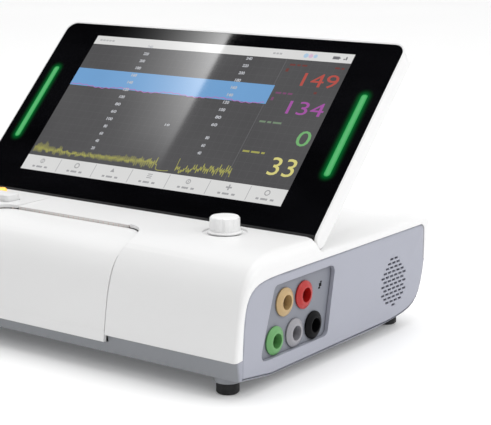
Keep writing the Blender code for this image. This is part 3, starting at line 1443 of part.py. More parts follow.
def glass_sheet(name, margin, face, finish=None, helper=False):
    """The glass, or its bed: a flat sheet whose lower edge bends down round the barrel."""
    back = GLASS_BACK - margin
    lip = BARREL_RADIUS - GLASS_LIP_THICKNESS - margin
    top = GLASS_HEIGHT + margin
    start = math.radians(90) + math.asin(margin / lip)
    end = math.radians(90) + GLASS_LIP_TURN + margin / lip
    side_view = arc((0, 0), face, end, math.radians(90), GLASS_LIP_STEPS)
    side_view += [(top, face), (top, back), (-margin, back)]
    side_view += arc((0, 0), lip, start, end, GLASS_LIP_STEPS)
    reach = GLASS_WIDTH / 2 + margin
    sheet = prism(name, side_view, -reach, reach, "X", finish, helper=helper)
    corners = [
        (-reach - OVERRUN, -2 * BARREL_RADIUS, 0),
        (reach + OVERRUN, -2 * BARREL_RADIUS, 0),
        (reach, top, GLASS_CORNER),
        (-reach, top, GLASS_CORNER),
    ]
    plan = prism(f"{name}_plan", rounded(corners), 0, face + OVERRUN, "Z", helper=True)
    keep(sheet, plan)
    carry(sheet, plan)
    return sheet


def display():
    holder = bpy.data.objects.new("display_axis", None)
    PARTS.objects.link(holder)
    holder.location = (0, HINGE_Y, HINGE_Z)
    holder.rotation_euler = (TILT, 0, 0)
    half = DISPLAY_WIDTH / 2
    top = GLASS_HEIGHT + DISPLAY_BORDER

    barrel = arc((0, 0), BARREL_RADIUS, math.radians(90), math.radians(270), BARREL_STEPS)
    edge = DISPLAY_EDGE_ROUND
    back_edge = arc((top - edge, edge - BARREL_RADIUS), edge, math.radians(-90), 0, FILLET_STEPS)
    outline = barrel + back_edge + [(top, BARREL_FACE)]
    radii = [DISPLAY_EDGE_ROUND / 2] * len(outline)
    casing = loft("display_casing", side_rings(outline, radii, half, EDGE_STEPS), WHITE)
    corners = [
        (-half, -2 * BARREL_RADIUS, 0),
        (half, -2 * BARREL_RADIUS, 0),
        (half, top, DISPLAY_CORNER),
        (-half, top, DISPLAY_CORNER),
    ]
    plan = prism(
        "display_plan", rounded(corners), -BARREL_RADIUS - OVERRUN, BARREL_FACE + OVERRUN, "Z", helper=True
    )
    keep(casing, plan)
    bulge_foot = rectangle(-BULGE_WIDTH / 2, BULGE_START, BULGE_WIDTH / 2, BULGE_END, BULGE_CORNER)
    bulge_face = moved_in(bulge_foot, [BULGE_HEIGHT] * len(bulge_foot))
    bulge = loft(
        "display_bulge",
        [
            [(x, y, -BARREL_RADIUS + OVERRUN) for x, y in bulge_foot],
            [(x, y, -BARREL_RADIUS) for x, y in bulge_foot],
            [(x, y, -BARREL_RADIUS - BULGE_HEIGHT) for x, y in bulge_face],
        ],
        helper=True,
    )
    join(casing, bulge)

    pocket = glass_sheet("glass_pocket", GAP, BARREL_FACE + OVERRUN, helper=True)
    lcd_low = LCD_WINDOW_BOTTOM - LCD_FRAME
    lcd_top = GLASS_BACK - GAP
    lcd_back = lcd_top - LCD_THICKNESS
    board_back = lcd_back - 2 * GAP - BOARD_THICKNESS
    well_low = (-LCD_WIDTH / 2 - GAP, lcd_low - GAP, board_back - GAP)
    well_high = (LCD_WIDTH / 2 + GAP, lcd_low + LCD_HEIGHT + GAP, BARREL_FACE)
    well = box("lcd_well", well_low, well_high, helper=True)
    cut(casing, pocket, well)

    glass = glass_sheet("cover_glass", 0, BARREL_FACE, GLASS)
    window_half = LCD_WIDTH / 2 - LCD_FRAME
    window_low = (-window_half - GAP, LCD_WINDOW_BOTTOM - GAP, GLASS_BACK - OVERRUN)
    window_high = (window_half + GAP, lcd_low + LCD_HEIGHT - LCD_FRAME + GAP, BARREL_FACE + OVERRUN)
    window = box("lcd_window", window_low, window_high, helper=True)
    cut(glass, window)
    lcd = box(
        "lcd_panel",
        (-LCD_WIDTH / 2, lcd_low, lcd_back),
        (LCD_WIDTH / 2, lcd_low + LCD_HEIGHT, lcd_top),
        LCD,
    )
    face_low = (-window_half, LCD_WINDOW_BOTTOM, lcd_back)
    face_high = (window_half, lcd_low + LCD_HEIGHT - LCD_FRAME, BARREL_FACE)
    face = box("lcd_face", face_low, face_high, helper=True)
    join(lcd, face)
    board_low = (-DISPLAY_BOARD_WIDTH / 2, lcd_low + LCD_FRAME, board_back)
    board_high = (
        DISPLAY_BOARD_WIDTH / 2, lcd_low + LCD_FRAME + DISPLAY_BOARD_LENGTH, board_back + BOARD_THICKNESS
    )
    board = box("display_board", board_low, board_high, BOARD)
    carry(holder, casing, plan, bulge, pocket, well, glass, window, lcd, face, board)

    for sign in (-1, 1):
        side = "right" if sign > 0 else "left"
        reach = LIGHT_BAR_WIDTH / 2
        x = sign * LIGHT_BAR_X
        ends = (LIGHT_BAR_BOTTOM, LIGHT_BAR_BOTTOM + LIGHT_BAR_LENGTH)
        bar_plan = rectangle(x - reach, ends[0], x + reach, ends[1], reach * BAR_ROUND_SHARE)
        hole_plan = moved_in(bar_plan, [-GAP] * len(bar_plan))
        bar_back = GLASS_BACK - GLASS_THICKNESS
        bar = prism(f"light_bar_{side}", bar_plan, bar_back, BARREL_FACE, "Z", LIGHT_GREEN)
        hole = prism(
            f"light_hole_{side}", hole_plan, bar_back - GAP, BARREL_FACE + OVERRUN, "Z", helper=True
        )
        cut(casing, hole)
        cut(glass, hole)
        notch_half = BRACKET_WIDTH / 2 + RUN_GAP
        neck = BRACKET_NECK_THICKNESS / 2 + RUN_GAP
        eye = BRACKET_HEAD_RADIUS + RUN_GAP
        low = (sign * BRACKET_X - notch_half, -2 * BARREL_RADIUS, -2 * BARREL_RADIUS)
        notch = box(f"hinge_notch_{side}", low, (sign * BRACKET_X + notch_half, neck, neck), helper=True)
        eye_start = (sign * BRACKET_X - notch_half, 0, 0)
        eye_hole = rod(f"hinge_eye_{side}", eye, eye_start, 2 * notch_half, "X", helper=True)
        pin_start = (sign * BRACKET_X - HINGE_PIN_LENGTH / 2 - GAP, 0, 0)
        pin_bore = rod(
            f"hinge_bore_{side}",
            HINGE_PIN_RADIUS + GAP,
            pin_start,
            HINGE_PIN_LENGTH + 2 * GAP,
            "X",
            helper=True,
            sides=SMALL_ROUND,
        )
        cut(casing, notch, eye_hole, pin_bore)
        carry(holder, bar, hole, notch, eye_hole, pin_bore)


def hinges():
    for sign in (-1, 1):
        side = "right" if sign > 0 else "left"
        low_x = sign * BRACKET_X - BRACKET_WIDTH / 2
        half = BRACKET_NECK_THICKNESS / 2
        open_angle = math.asin(half / BRACKET_HEAD_RADIUS)
        foot_z = CEILING_Z - GAP - BRACKET_FLANGE_THICKNESS
        turn = (open_angle - math.radians(90), math.radians(270) - open_angle)
        side_view = arc((HINGE_Y, HINGE_Z), BRACKET_HEAD_RADIUS, *turn, NOSE_STEPS)
        neck_z = foot_z + BRACKET_FLANGE_THICKNESS / 2
        side_view += [(HINGE_Y - half, neck_z), (HINGE_Y + half, neck_z)]
        bracket = prism(f"hinge_bracket_{side}", side_view, low_x, low_x + BRACKET_WIDTH, "X", STEEL)
        flange_low = (
            sign * BRACKET_X - BRACKET_FLANGE_WIDTH / 2, HINGE_Y - BRACKET_FLANGE_LENGTH / 2, foot_z
        )
        flange_high = (
            sign * BRACKET_X + BRACKET_FLANGE_WIDTH / 2,
            HINGE_Y + BRACKET_FLANGE_LENGTH / 2,
            CEILING_Z - GAP,
        )
        join(bracket, box(f"bracket_flange_{side}", flange_low, flange_high, helper=True))
        pin_start = (sign * BRACKET_X - HINGE_PIN_LENGTH / 2, HINGE_Y, HINGE_Z)
        bore_start = (sign * BRACKET_X - HINGE_PIN_LENGTH, HINGE_Y, HINGE_Z)
        bore = rod(
            f"bracket_bore_{side}",
            HINGE_PIN_RADIUS + GAP,
            bore_start,
            2 * HINGE_PIN_LENGTH,
            "X",
            helper=True,
            sides=SMALL_ROUND,
        )
        cut(bracket, bore)
        rod(
            f"hinge_pin_{side}",
            HINGE_PIN_RADIUS,
            pin_start,
            HINGE_PIN_LENGTH,
            "X",
            STEEL,
            sides=SMALL_ROUND,
        )


# Rear sockets

def flanged(name, x, width, height, depth, flange, finish):
    """A body through the rear wall with a flat flange against the bay's floor."""
    low = (x - width / 2, PORT_Y - depth, PORT_Z - height / 2)
    high = (x + width / 2, PORT_Y + GAP + FLANGE_THICKNESS / 2, PORT_Z + height / 2)
    body = box(name, low, high, finish)
    face = PORT_Y + GAP + FLANGE_THICKNESS
    flange_low = (low[0] - flange, PORT_Y + GAP, low[2] - flange)
    flange_high = (high[0] + flange, face, high[2] + flange)
    join(body, box(f"{name}_flange", flange_low, flange_high, helper=True))
    return body, face


def rear_ports():
    inlet, face = flanged(
        "mains_inlet", INLET_X, INLET_WIDTH, INLET_HEIGHT, INLET_DEPTH, INLET_FLANGE, BLACK
    )
    half_width = INLET_WIDTH / 2 - INLET_WALL
    half_height = INLET_HEIGHT / 2 - INLET_WALL
    mouth_plan = rounded([
        (INLET_X - half_width, PORT_Z - half_height, 0),
        (INLET_X + half_width, PORT_Z - half_height, 0),
        (INLET_X + half_width, PORT_Z + half_height - INLET_CORNER, 0),
        (INLET_X + half_width - INLET_CORNER, PORT_Z + half_height, 0),
        (INLET_X - half_width + INLET_CORNER, PORT_Z + half_height, 0),
        (INLET_X - half_width, PORT_Z + half_height - INLET_CORNER, 0),
    ])
    mouth_floor = face - INLET_MOUTH_DEPTH
    cut(inlet, prism("inlet_mouth", mouth_plan, mouth_floor, face + OVERRUN, "Y", helper=True))
    for i, lift in ((-1, -BLADE_OFFSET), (0, BLADE_OFFSET), (1, -BLADE_OFFSET)):
        middle = (INLET_X + i * BLADE_PITCH, PORT_Z + lift)
        low = (middle[0] - BLADE_HEIGHT / 2, mouth_floor - OVERRUN, middle[1] - BLADE_WIDTH / 2)
        high = (middle[0] + BLADE_HEIGHT / 2, face - 2 * INLET_WALL, middle[1] + BLADE_WIDTH / 2)
        join(inlet, box(f"inlet_blade_{i + 1}", low, high, helper=True))

    frame, face = flanged(
        "power_switch_frame", ROCKER_X, ROCKER_WIDTH, ROCKER_HEIGHT, ROCKER_DEPTH, ROCKER_RIM, BLACK
    )
    well_half = (ROCKER_WIDTH / 2 - ROCKER_RIM / 2, ROCKER_HEIGHT / 2 - ROCKER_RIM / 2)
    axis_y = face - ROCKER_AXIS_DEPTH
    well_low = (ROCKER_X - well_half[0], axis_y - ROCKER_AXIS_DEPTH, PORT_Z - well_half[1])
    well_high = (ROCKER_X + well_half[0], face + OVERRUN, PORT_Z + well_half[1])
    cut(frame, box("rocker_well", well_low, well_high, helper=True))
    pin_start = (ROCKER_X - ROCKER_WIDTH / 2 - RUN_GAP, axis_y, PORT_Z)
    bore = rod(
        "rocker_bore",
        ROCKER_PIN_RADIUS + GAP,
        pin_start,
        ROCKER_WIDTH + 2 * RUN_GAP,
        "X",
        helper=True,
        sides=TINY_ROUND,
    )
    cut(frame, bore)
    holder = bpy.data.objects.new("rocker_axis", None)
    PARTS.objects.link(holder)
    holder.location = (ROCKER_X, axis_y, PORT_Z)
    holder.rotation_euler = (ROCKER_SWING, 0, 0)
    reach = well_half[1] - ROCKER_RIM / 2
    lift = ROCKER_AXIS_DEPTH + reach * math.sin(ROCKER_SWING) * ROCKER_DISH_SHARE
    outline = [
        (-ROCKER_PIN_RADIUS * 2, 0),
        (0, -reach + ROCKER_RIM),
        (lift, -reach),
        (ROCKER_AXIS_DEPTH / 2, 0),
        (lift, reach),
        (0, reach - ROCKER_RIM),
    ]
    half = well_half[0] - RUN_GAP
    rocker = prism("power_switch_rocker", outline, -half, half, "X", BLACK)
    pin_low = (-half - ROCKER_RIM / 2, 0, 0)
    pin = rod(
        "rocker_pin", ROCKER_PIN_RADIUS, pin_low, 2 * half + ROCKER_RIM, "X", helper=True, sides=TINY_ROUND
    )
    join(rocker, pin)
    carry(holder, rocker, pin)

    stud_low = (STUD_X, PORT_INNER_Y - STUD_TAIL, PORT_Z)
    stud = rod(
        "earth_stud", STUD_RADIUS, stud_low, STUD_TAIL + WALL + STUD_PROUD, "Y", STEEL, sides=TINY_ROUND
    )
    nut_start = (STUD_X, PORT_Y + GAP, PORT_Z)
    nut = rod(
        "earth_stud_nut",
        STUD_NUT_RADIUS,
        nut_start,
        STUD_NUT_THICKNESS,
        "Y",
        helper=True,
        sides=STUD_NUT_SIDES,
    )
    back_start = (STUD_X, PORT_INNER_Y - GAP - STUD_NUT_THICKNESS, PORT_Z)
    back_nut = rod(
        "earth_back_nut",
        STUD_NUT_RADIUS,
        back_start,
        STUD_NUT_THICKNESS,
        "Y",
        helper=True,
        sides=STUD_NUT_SIDES,
    )
    join(stud, nut, back_nut)

    for name, x, width, height in (
        ("network_socket", NETWORK_X, NETWORK_WIDTH, NETWORK_HEIGHT),
        ("usb_socket", USB_X, USB_WIDTH, USB_HEIGHT),
    ):
        socket, face = flanged(name, x, width, height, PORT_DEPTH, PORT_WALL, STEEL)
        low = (x - width / 2 + PORT_WALL, face - PORT_MOUTH_DEPTH, PORT_Z - height / 2 + PORT_WALL)
        high = (x + width / 2 - PORT_WALL, face + OVERRUN, PORT_Z + height / 2 - PORT_WALL)
        cut(socket, box(f"{name}_mouth", low, high, helper=True))


# Inside the case

def interior():
    board_low = (BOARD_LEFT, BOARD_FRONT_Y, MAIN_BOARD_Z)
    board_high = (BOARD_RIGHT, BOARD_REAR_Y, MAIN_BOARD_Z + BOARD_THICKNESS)
    box("main_board", board_low, board_high, BOARD)
    shield_low = (
        BOARD_RIGHT - SHIELD_INSET - SHIELD_LENGTH,
        BOARD_FRONT_Y + SHIELD_INSET,
        MAIN_BOARD_Z + BOARD_THICKNESS + GAP,
    )
    shield_high = (
        BOARD_RIGHT - SHIELD_INSET,
        BOARD_FRONT_Y + SHIELD_INSET + SHIELD_LENGTH,
        shield_low[2] + SHIELD_HEIGHT,
    )
    box("front_end_shield", shield_low, shield_high, STEEL)
    supply_low = (SUPPLY_LEFT, SUPPLY_FRONT_Y, FLOOR_Z + GAP)
    supply_high = (SUPPLY_RIGHT, SUPPLY_REAR_Y, supply_low[2] + SUPPLY_HEIGHT)
    box("power_supply", supply_low, supply_high, STEEL)
    cover_low = (BATTERY_LEFT - COVER_LEDGE, BATTERY_FRONT_Y - COVER_LEDGE, CASE_BOTTOM_Z)
    cover_high = (
        BATTERY_RIGHT + COVER_LEDGE, BATTERY_REAR_Y + COVER_LEDGE, CASE_BOTTOM_Z + COVER_THICKNESS
    )
    box("battery_cover", cover_low, cover_high, GREY)
    battery_low = (BATTERY_LEFT, BATTERY_FRONT_Y, cover_high[2] + GAP)
    box("battery_pack", battery_low, (BATTERY_RIGHT, BATTERY_REAR_Y, battery_low[2] + BATTERY_HEIGHT), BLUE)


def build():
    top_shell()
    base_tray()
    right_panel()
    side_panel(-1)
    connectors()
    speaker()
    feet()
    screws()
    knob()
    key_and_lamp()
    printer_door()
    printer()
    display()
    hinges()
    rear_ports()
    interior()


build()
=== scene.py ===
"""Looks of the cardiotocograph: finishes, screen contents, small fittings, floor, light, camera.

Metres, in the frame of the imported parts. On the screen, u and v are shares of its width and
height, from its lower left corner.
"""

import json
import math

import bmesh
import bpy
from mathutils import Matrix, Vector


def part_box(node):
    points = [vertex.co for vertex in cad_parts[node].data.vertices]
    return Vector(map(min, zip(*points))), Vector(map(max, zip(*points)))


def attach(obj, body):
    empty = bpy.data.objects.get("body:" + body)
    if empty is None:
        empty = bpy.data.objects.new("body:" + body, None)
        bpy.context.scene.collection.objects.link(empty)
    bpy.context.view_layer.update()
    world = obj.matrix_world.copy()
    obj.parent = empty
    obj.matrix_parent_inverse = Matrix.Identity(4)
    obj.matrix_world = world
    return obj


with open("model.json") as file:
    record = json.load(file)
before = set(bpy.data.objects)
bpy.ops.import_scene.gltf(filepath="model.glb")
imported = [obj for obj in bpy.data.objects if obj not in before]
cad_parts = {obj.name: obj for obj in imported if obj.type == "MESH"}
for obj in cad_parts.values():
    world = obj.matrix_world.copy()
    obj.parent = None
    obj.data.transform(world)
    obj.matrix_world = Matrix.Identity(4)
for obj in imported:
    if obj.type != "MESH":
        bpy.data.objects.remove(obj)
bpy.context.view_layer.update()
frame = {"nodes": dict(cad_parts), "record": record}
NODES = frame["nodes"]

# Camera
CAMERA_PLACE = (0.7344, -0.8831, 0.3313)
CAMERA_TURN = (math.radians(90 - 12.132), 0, math.radians(36.147))
CAMERA_LENS = 109.72
SENSOR_WIDTH = 36
CLIP_START = 0.05
CLIP_END = 60

# Display: its tilt, the hinge line, and the screen and light bars in the display's own frame,
# where Y runs up the display from the hinge line and Z out of its face
TILT = math.radians(45.6)
HINGE_Y = -0.0214
HINGE_Z = 0.0903
FACE = 0.0067
SCREEN_WIDTH = 0.2606
SCREEN_HEIGHT = 0.1416
SCREEN_BOTTOM = 0.0185
LAYER = 0.00005
BAR_X = 0.1552
BAR_BOTTOM = 0.0491
BAR_TOP = 0.1238
BAR_END_RADIUS = 0.0025

DISPLAY = Matrix.Translation((0, HINGE_Y, HINGE_Z)) @ Matrix.Rotation(TILT, 4, "X")


# Node materials

MASK_SAMPLES = 4


class Look:
    """A material, its node tree and its shader, with short calls that add nodes."""

    def __init__(self, name, **values):
        self.material = bpy.data.materials.new(name)
        self.material.use_nodes = True
        self.tree = self.material.node_tree
        self.shader = self.tree.nodes["Principled BSDF"]
        self.place = self.add("ShaderNodeTexCoord").outputs["Object"]
        self.normal = None
        self.set(self.shader, values)

    def feed(self, socket, value):
        """Links the socket to another node's output, or gives it a value."""
        if isinstance(value, bpy.types.NodeSocket):
            self.tree.links.new(value, socket)
        elif socket.type == "RGBA" and len(value) == 3:
            socket.default_value = (*value, 1)
        else:
            socket.default_value = value

    def set(self, node, values):
        """Feeds a node's inputs by name, with _ for a space."""
        for name, value in values.items():
            self.feed(node.inputs[name.replace("_", " ")], value)

    def add(self, kind, settings=None, **values):
        node = self.tree.nodes.new(kind)
        for name, value in (settings or {}).items():
            setattr(node, name, value)
        self.set(node, values)
        return node

    def math(self, operation, *values):
        node = self.add("ShaderNodeMath", {"operation": operation})
        for socket, value in zip(node.inputs, values):
            self.feed(socket, value)
        return node.outputs[0]

    def stretched(self, scale, place=None):
        return self.add("ShaderNodeMapping", Scale=scale, Vector=place or self.place).outputs[0]

    def noise(self, scale, detail=2.0, place=None, roughness=0.5):
        values = {"Scale": scale, "Detail": detail, "Roughness": roughness}
        return self.add("ShaderNodeTexNoise", Vector=place or self.place, **values).outputs["Fac"]

    def cells(self, scale):
        node = self.add("ShaderNodeTexVoronoi", Scale=scale, Vector=self.place)
        return node.outputs["Distance"]

    def ranged(self, value, low, high, to_low=0, to_high=1):
        """Turns low..high into to_low..to_high, and stops at both ends."""
        node = self.add("ShaderNodeMapRange", Value=value, From_Min=low, From_Max=high)
        self.set(node, {"To_Min": to_low, "To_Max": to_high})
        return node.outputs["Result"]

    def mixed(self, factor, first, second):
        """A colour between two; each is a colour or another node's output."""
        node = self.add("ShaderNodeMix", {"data_type": "RGBA"})
        for number, value in ((0, factor), (6, first), (7, second)):
            self.feed(node.inputs[number], value)
        return node.outputs[2]

    def coordinate(self, axis, place=None):
        return self.add("ShaderNodeSeparateXYZ", Vector=place or self.place).outputs[axis]

    def bump(self, height, distance):
        """Adds relief, on top of the rounded edges or the relief already there."""
        node = self.add("ShaderNodeBump", Height=height, Distance=distance, Strength=1.0)
        if self.normal is not None:
            self.feed(node.inputs["Normal"], self.normal)
        self.normal = node.outputs["Normal"]
        self.set(self.shader, {"Normal": self.normal})

    def rounded_normal(self, radius):
        node = self.add("ShaderNodeBevel", {"samples": MASK_SAMPLES}, Radius=radius)
        return node.outputs["Normal"]

    def soft_edges(self, radius):
        self.normal = self.rounded_normal(radius)
        self.set(self.shader, {"Normal": self.normal})

    def edge_mask(self, radius, low, high):
        """1 on edges, 0 on flats: how far a rounded normal leans from the true one."""
        dot = self.add("ShaderNodeVectorMath", {"operation": "DOT_PRODUCT"})
        self.feed(dot.inputs[0], self.rounded_normal(radius))
        self.feed(dot.inputs[1], self.add("ShaderNodeNewGeometry").outputs["True Normal"])
        return self.ranged(dot.outputs["Value"], low, high, 1, 0)

    def crevice_mask(self, distance):
        """1 deep in a corner, 0 in the open, from ambient occlusion: where painted shade goes."""
        settings = {"samples": MASK_SAMPLES}
        node = self.add("ShaderNodeAmbientOcclusion", settings, Distance=distance)
        return self.ranged(node.outputs["AO"], 0.35, 0.85, 1, 0)

    def colour(self, value):
        self.set(self.shader, {"Base_Color": value})

    def rough(self, value):
        self.set(self.shader, {"Roughness": value})


def shade(colour, factor):
    return tuple(channel * factor for channel in colour)


# Radius of the edges in the shading
PLASTIC_EDGE = 0.0004
PRESSED_EDGE = 0.0003
METAL_EDGE = 0.0002
# Between these distances from the middle the base turns from its darker grey, partly painted
# shade, to the colour of its ends
END_X = (0.1728, 0.1742)


def plastic(name, colour, roughness, grain, depth, wear, crevice_shade, ends=None, **values):
    """Moulded plastic: cloudy tone, spark-worn grain, edges rubbed pale, and painted shade in its
    crevices.

    The two sides of the case can have a colour of their own, given as ends, free of the painted
    shade held in the darker colour of the rest.
    """
    look = Look(name, **values)
    look.soft_edges(PLASTIC_EDGE)
    cloud = look.noise(14, 4)
    fine = look.noise(grain, 3, roughness=0.6)
    darker, paler = shade(colour, 1 - wear / 2), shade(colour, 1 + wear / 2)
    tone = look.mixed(look.ranged(cloud, 0.3, 0.7), darker, paler)
    patches = look.ranged(look.noise(160, 4), 0.45, 0.7, 0, wear * 6)
    rub = look.math("MULTIPLY", look.edge_mask(PLASTIC_EDGE * 2, 0.80, 0.98), patches)
    tone = look.mixed(rub, tone, shade(colour, 1 + wear * 2))
    if ends is not None:
        sideways = look.math("ABSOLUTE", look.coordinate("X"))
        tone = look.mixed(look.ranged(sideways, *END_X), tone, ends)
    # Painted shade: the colour darkens in crevices, where ambient occlusion finds them
    painted_crevice_shade = look.math("MULTIPLY", look.crevice_mask(0.003), crevice_shade)
    look.colour(look.mixed(painted_crevice_shade, tone, shade(colour, 0.4)))
    uneven = look.math("ADD", cloud, look.math("MULTIPLY", fine, 0.5))
    look.rough(look.ranged(uneven, 0.4, 1.1, roughness - 0.05, roughness + 0.06))
    look.bump(fine, depth)
    return look.material


def glossy_plastic(name, colour, roughness):
    """The pale, smooth plastic of the shells and the knob."""
    return plastic(name, colour, roughness, 1400, 0.00002, wear=0.02, crevice_shade=0.05)


def textured_plastic(name, colour, wear, crevice_shade, **values):
    """The grainy plastic of the grey parts."""
    return plastic(name, colour, 0.5, 1100, 0.00006, wear=wear, crevice_shade=crevice_shade, **values)


def socket_plastic(name, colour, roughness, wear):
    """The coloured plastic of the sockets, with strong painted shade in their crevices."""
    return plastic(name, colour, roughness, 1600, 0.00002, wear=wear, crevice_shade=0.45)


def brushed(name, colour, roughness):
    """Metal with long fine scratches along X and a few cross marks."""
    look = Look(name, Metallic=1.0)
    look.soft_edges(METAL_EDGE)
    lines = look.noise(1, 4, look.stretched((60, 2200, 2200)), 0.7)
    tone = look.mixed(look.ranged(lines, 0.3, 0.7), shade(colour, 0.82), shade(colour, 1.08))
    look.colour(tone)
    uneven = look.math("ADD", lines, look.noise(45, 3))
    look.rough(look.ranged(uneven, 0.6, 1.4, roughness - 0.08, roughness + 0.12))
    look.bump(lines, 0.00001)
    return look.material


def rubber(name, colour):
    """Matt rubber with pale dust on it."""
    look = Look(name, Specular_IOR_Level=0.35)
    look.soft_edges(PRESSED_EDGE)
    dust = look.ranged(look.noise(60, 5), 0.45, 0.75, 0, 0.35)
    look.colour(look.mixed(dust, colour, shade(colour, 3.5)))
    look.rough(look.ranged(look.noise(220, 3), 0.3, 0.7, 0.55, 0.8))
    look.bump(look.noise(1500, 2), 0.00004)
    return look.material


def metal_sheet(name, colour):
    """Pressed sheet with a faint crystal pattern."""
    look = Look(name, Metallic=1.0)
    look.soft_edges(PRESSED_EDGE)
    crystals = look.ranged(look.cells(110.0), 0.1, 0.7)
    look.colour(look.mixed(crystals, shade(colour, 0.85), shade(colour, 1.05)))
    look.rough(look.ranged(look.noise(70, 4), 0.3, 0.7, 0.28, 0.5))
    look.bump(look.noise(500, 2), 0.00001)
    return look.material


def circuit_board(name):
    """Green board with copper tracks under the mask and bare pads."""
    look = Look(name, Specular_IOR_Level=0.5, Coat_Weight=0.4, Coat_Roughness=0.2)
    layout = {"Scale": 1.0, "Mortar_Size": 0.035, "Vector": look.stretched((260, 420, 420))}
    brick = look.add("ShaderNodeTexBrick", {"offset": 0.5, "offset_frequency": 3}, **layout)
    tracks = brick.outputs["Fac"]
    pads = look.cells(330.0)
    cloud = look.ranged(look.noise(30, 3), 0.3, 0.7)
    green = look.mixed(cloud, (0.012, 0.11, 0.045), (0.02, 0.17, 0.07))
    copper = look.mixed(tracks, green, (0.05, 0.30, 0.12))
    look.colour(look.mixed(look.ranged(pads, 0.16, 0.2, 1, 0), copper, (0.70, 0.68, 0.60)))
    look.rough(look.ranged(pads, 0.15, 0.4, 0.25, 0.42))
    look.bump(tracks, 0.00003)
    return look.material


def square_grid(look, place, line, **values):
    """1 on the lines of a grid of unit squares, 0 inside them."""
    layout = {"Scale": 1.0, "Brick_Width": 1.0, "Row_Height": 1.0, "Mortar_Size": line}
    brick = look.add("ShaderNodeTexBrick", {"offset": 0}, Vector=place, **layout, **values)
    return brick.outputs["Fac"]


def chart_paper(name, folded=True):
    """Thermal paper with a printed grid and, on the pack, the edges of the folds."""
    look = Look(name, Sheen_Weight=0.1)
    if folded:
        fold_tone, ink, relief = (0.70, 0.69, 0.66), 0.6, 0.00008
        folds = look.noise(1, 2, look.stretched((3, 3, 6000)))
    else:
        fold_tone, ink, relief = (0.81, 0.80, 0.78), 0.35, 0.00001
        folds = look.noise(60, 3)
    white = look.mixed(look.ranged(folds, 0.35, 0.65), (0.86, 0.85, 0.82), fold_tone)
    grid = square_grid(look, look.stretched((200, 200, 200)), 0.05)
    look.colour(look.mixed(look.math("MULTIPLY", grid, ink), white, (0.80, 0.33, 0.28)))
    look.rough(look.ranged(look.noise(400, 3), 0.3, 0.7, 0.6, 0.75))
    look.bump(folds, relief)
    return look.material


def shrink_wrap(name, colour):
    """The wrinkled sleeve of the battery."""
    look = Look(name, Coat_Weight=0.5, Coat_Roughness=0.12)
    wrinkle = look.noise(60, 5, look.stretched((1, 0.35, 1)))
    tone = look.mixed(look.ranged(wrinkle, 0.3, 0.7), shade(colour, 0.8), shade(colour, 1.2))
    look.colour(tone)
    look.rough(look.ranged(wrinkle, 0.3, 0.7, 0.25, 0.4))
    look.bump(wrinkle, 0.0006)
    return look.material


def display_place(look):
    """The shading point in the display's own frame: x, up the screen, out of the face."""
    pose = {"Location": (0, HINGE_Y, HINGE_Z), "Rotation": (TILT, 0, 0), "Vector": look.place}
    return look.add("ShaderNodeMapping", {"vector_type": "TEXTURE"}, **pose).outputs[0]


def bar_distance(look, place):
    """Distance in metres from the nearer light bar's middle line, on the display's face."""
    side = look.math("SUBTRACT", look.math("ABSOLUTE", look.coordinate("X", place)), BAR_X)
    middle = (BAR_BOTTOM + BAR_TOP) / 2
    reach = (BAR_TOP - BAR_BOTTOM) / 2 - BAR_END_RADIUS
    along = look.math("SUBTRACT", look.coordinate("Y", place), middle)
    beyond = look.math("SUBTRACT", look.math("ABSOLUTE", along), reach)
    beyond = look.math("MAXIMUM", beyond, 0.0)
    squares = [look.math("MULTIPLY", value, value) for value in (side, beyond)]
    return look.math("SQRT", look.math("ADD", *squares))


def black_glass(name):
    """Back-painted glass, with the green bars' light spreading a little way into it."""
    look = Look(name, Roughness=0.03, IOR=1.5, Emission_Color=(0.0, 0.55, 0.10))
    place = display_place(look)
    smear = look.noise(9, 5, look.stretched((1, 3, 1), place))
    tone = look.mixed(look.ranged(smear, 0.3, 0.7), (0.0015, 0.0015, 0.002), (0.004, 0.004, 0.005))
    look.colour(tone)
    look.rough(look.ranged(smear, 0.35, 0.75, 0.025, 0.06))
    halo = look.ranged(bar_distance(look, place), 0.0022, 0.0090, 1, 0)
    halo = look.math("POWER", look.math("MAXIMUM", halo, 0.0), 2.6)
    look.set(look.shader, {"Emission_Strength": look.math("MULTIPLY", halo, 0.30)})
    return look.material


def light_bar(name):
    """Lit green bar, pale along its middle."""
    look = Look(name, Base_Color=(0.02, 0.25, 0.06), Roughness=0.3, Emission_Strength=1.0)
    place = display_place(look)
    grain = look.ranged(look.noise(260, 3, place), 0.3, 0.7, 0.92, 1.08)
    core = look.ranged(bar_distance(look, place), 0.0006, 0.0026, 1, 0)
    glow = look.mixed(core, (0.006, 0.14, 0.028), (0.070, 0.215, 0.095))
    look.set(look.shader, {"Emission_Color": glow, "Emission_Strength": grain})
    return look.material


def lamp(name, colour, strength):
    """Tinted cap that glows unevenly."""
    glass = {"Roughness": 0.25, "Transmission_Weight": 0.2}
    look = Look(name, Base_Color=colour, Emission_Color=colour, **glass)
    glow = look.ranged(look.noise(500, 3), 0.3, 0.7, strength * 0.8, strength * 1.2)
    look.set(look.shader, {"Emission_Strength": glow})
    look.bump(look.noise(900, 2), 0.00003)
    return look.material


SHIMMER = 0.05
GLASS = {"Base_Color": (0.002, 0.002, 0.002), "Roughness": 0.04, "IOR": 1.5}


def lit(name, colour):
    """Part of the lit picture: a fine grid of picture cells, and the gloss of the glass."""
    look = Look(name, Emission_Color=colour, **GLASS)
    wave = look.add("ShaderNodeTexWave", {"bands_direction": "X"}, Scale=900.0, Vector=look.place)
    fine = look.math("MULTIPLY", wave.outputs["Fac"], SHIMMER)
    cloud = look.math("MULTIPLY", look.noise(35, 3), SHIMMER * 2)
    glow = look.math("ADD", look.math("ADD", fine, cloud), 1 - SHIMMER * 1.5)
    look.set(look.shader, {"Emission_Strength": glow})
    return look.material


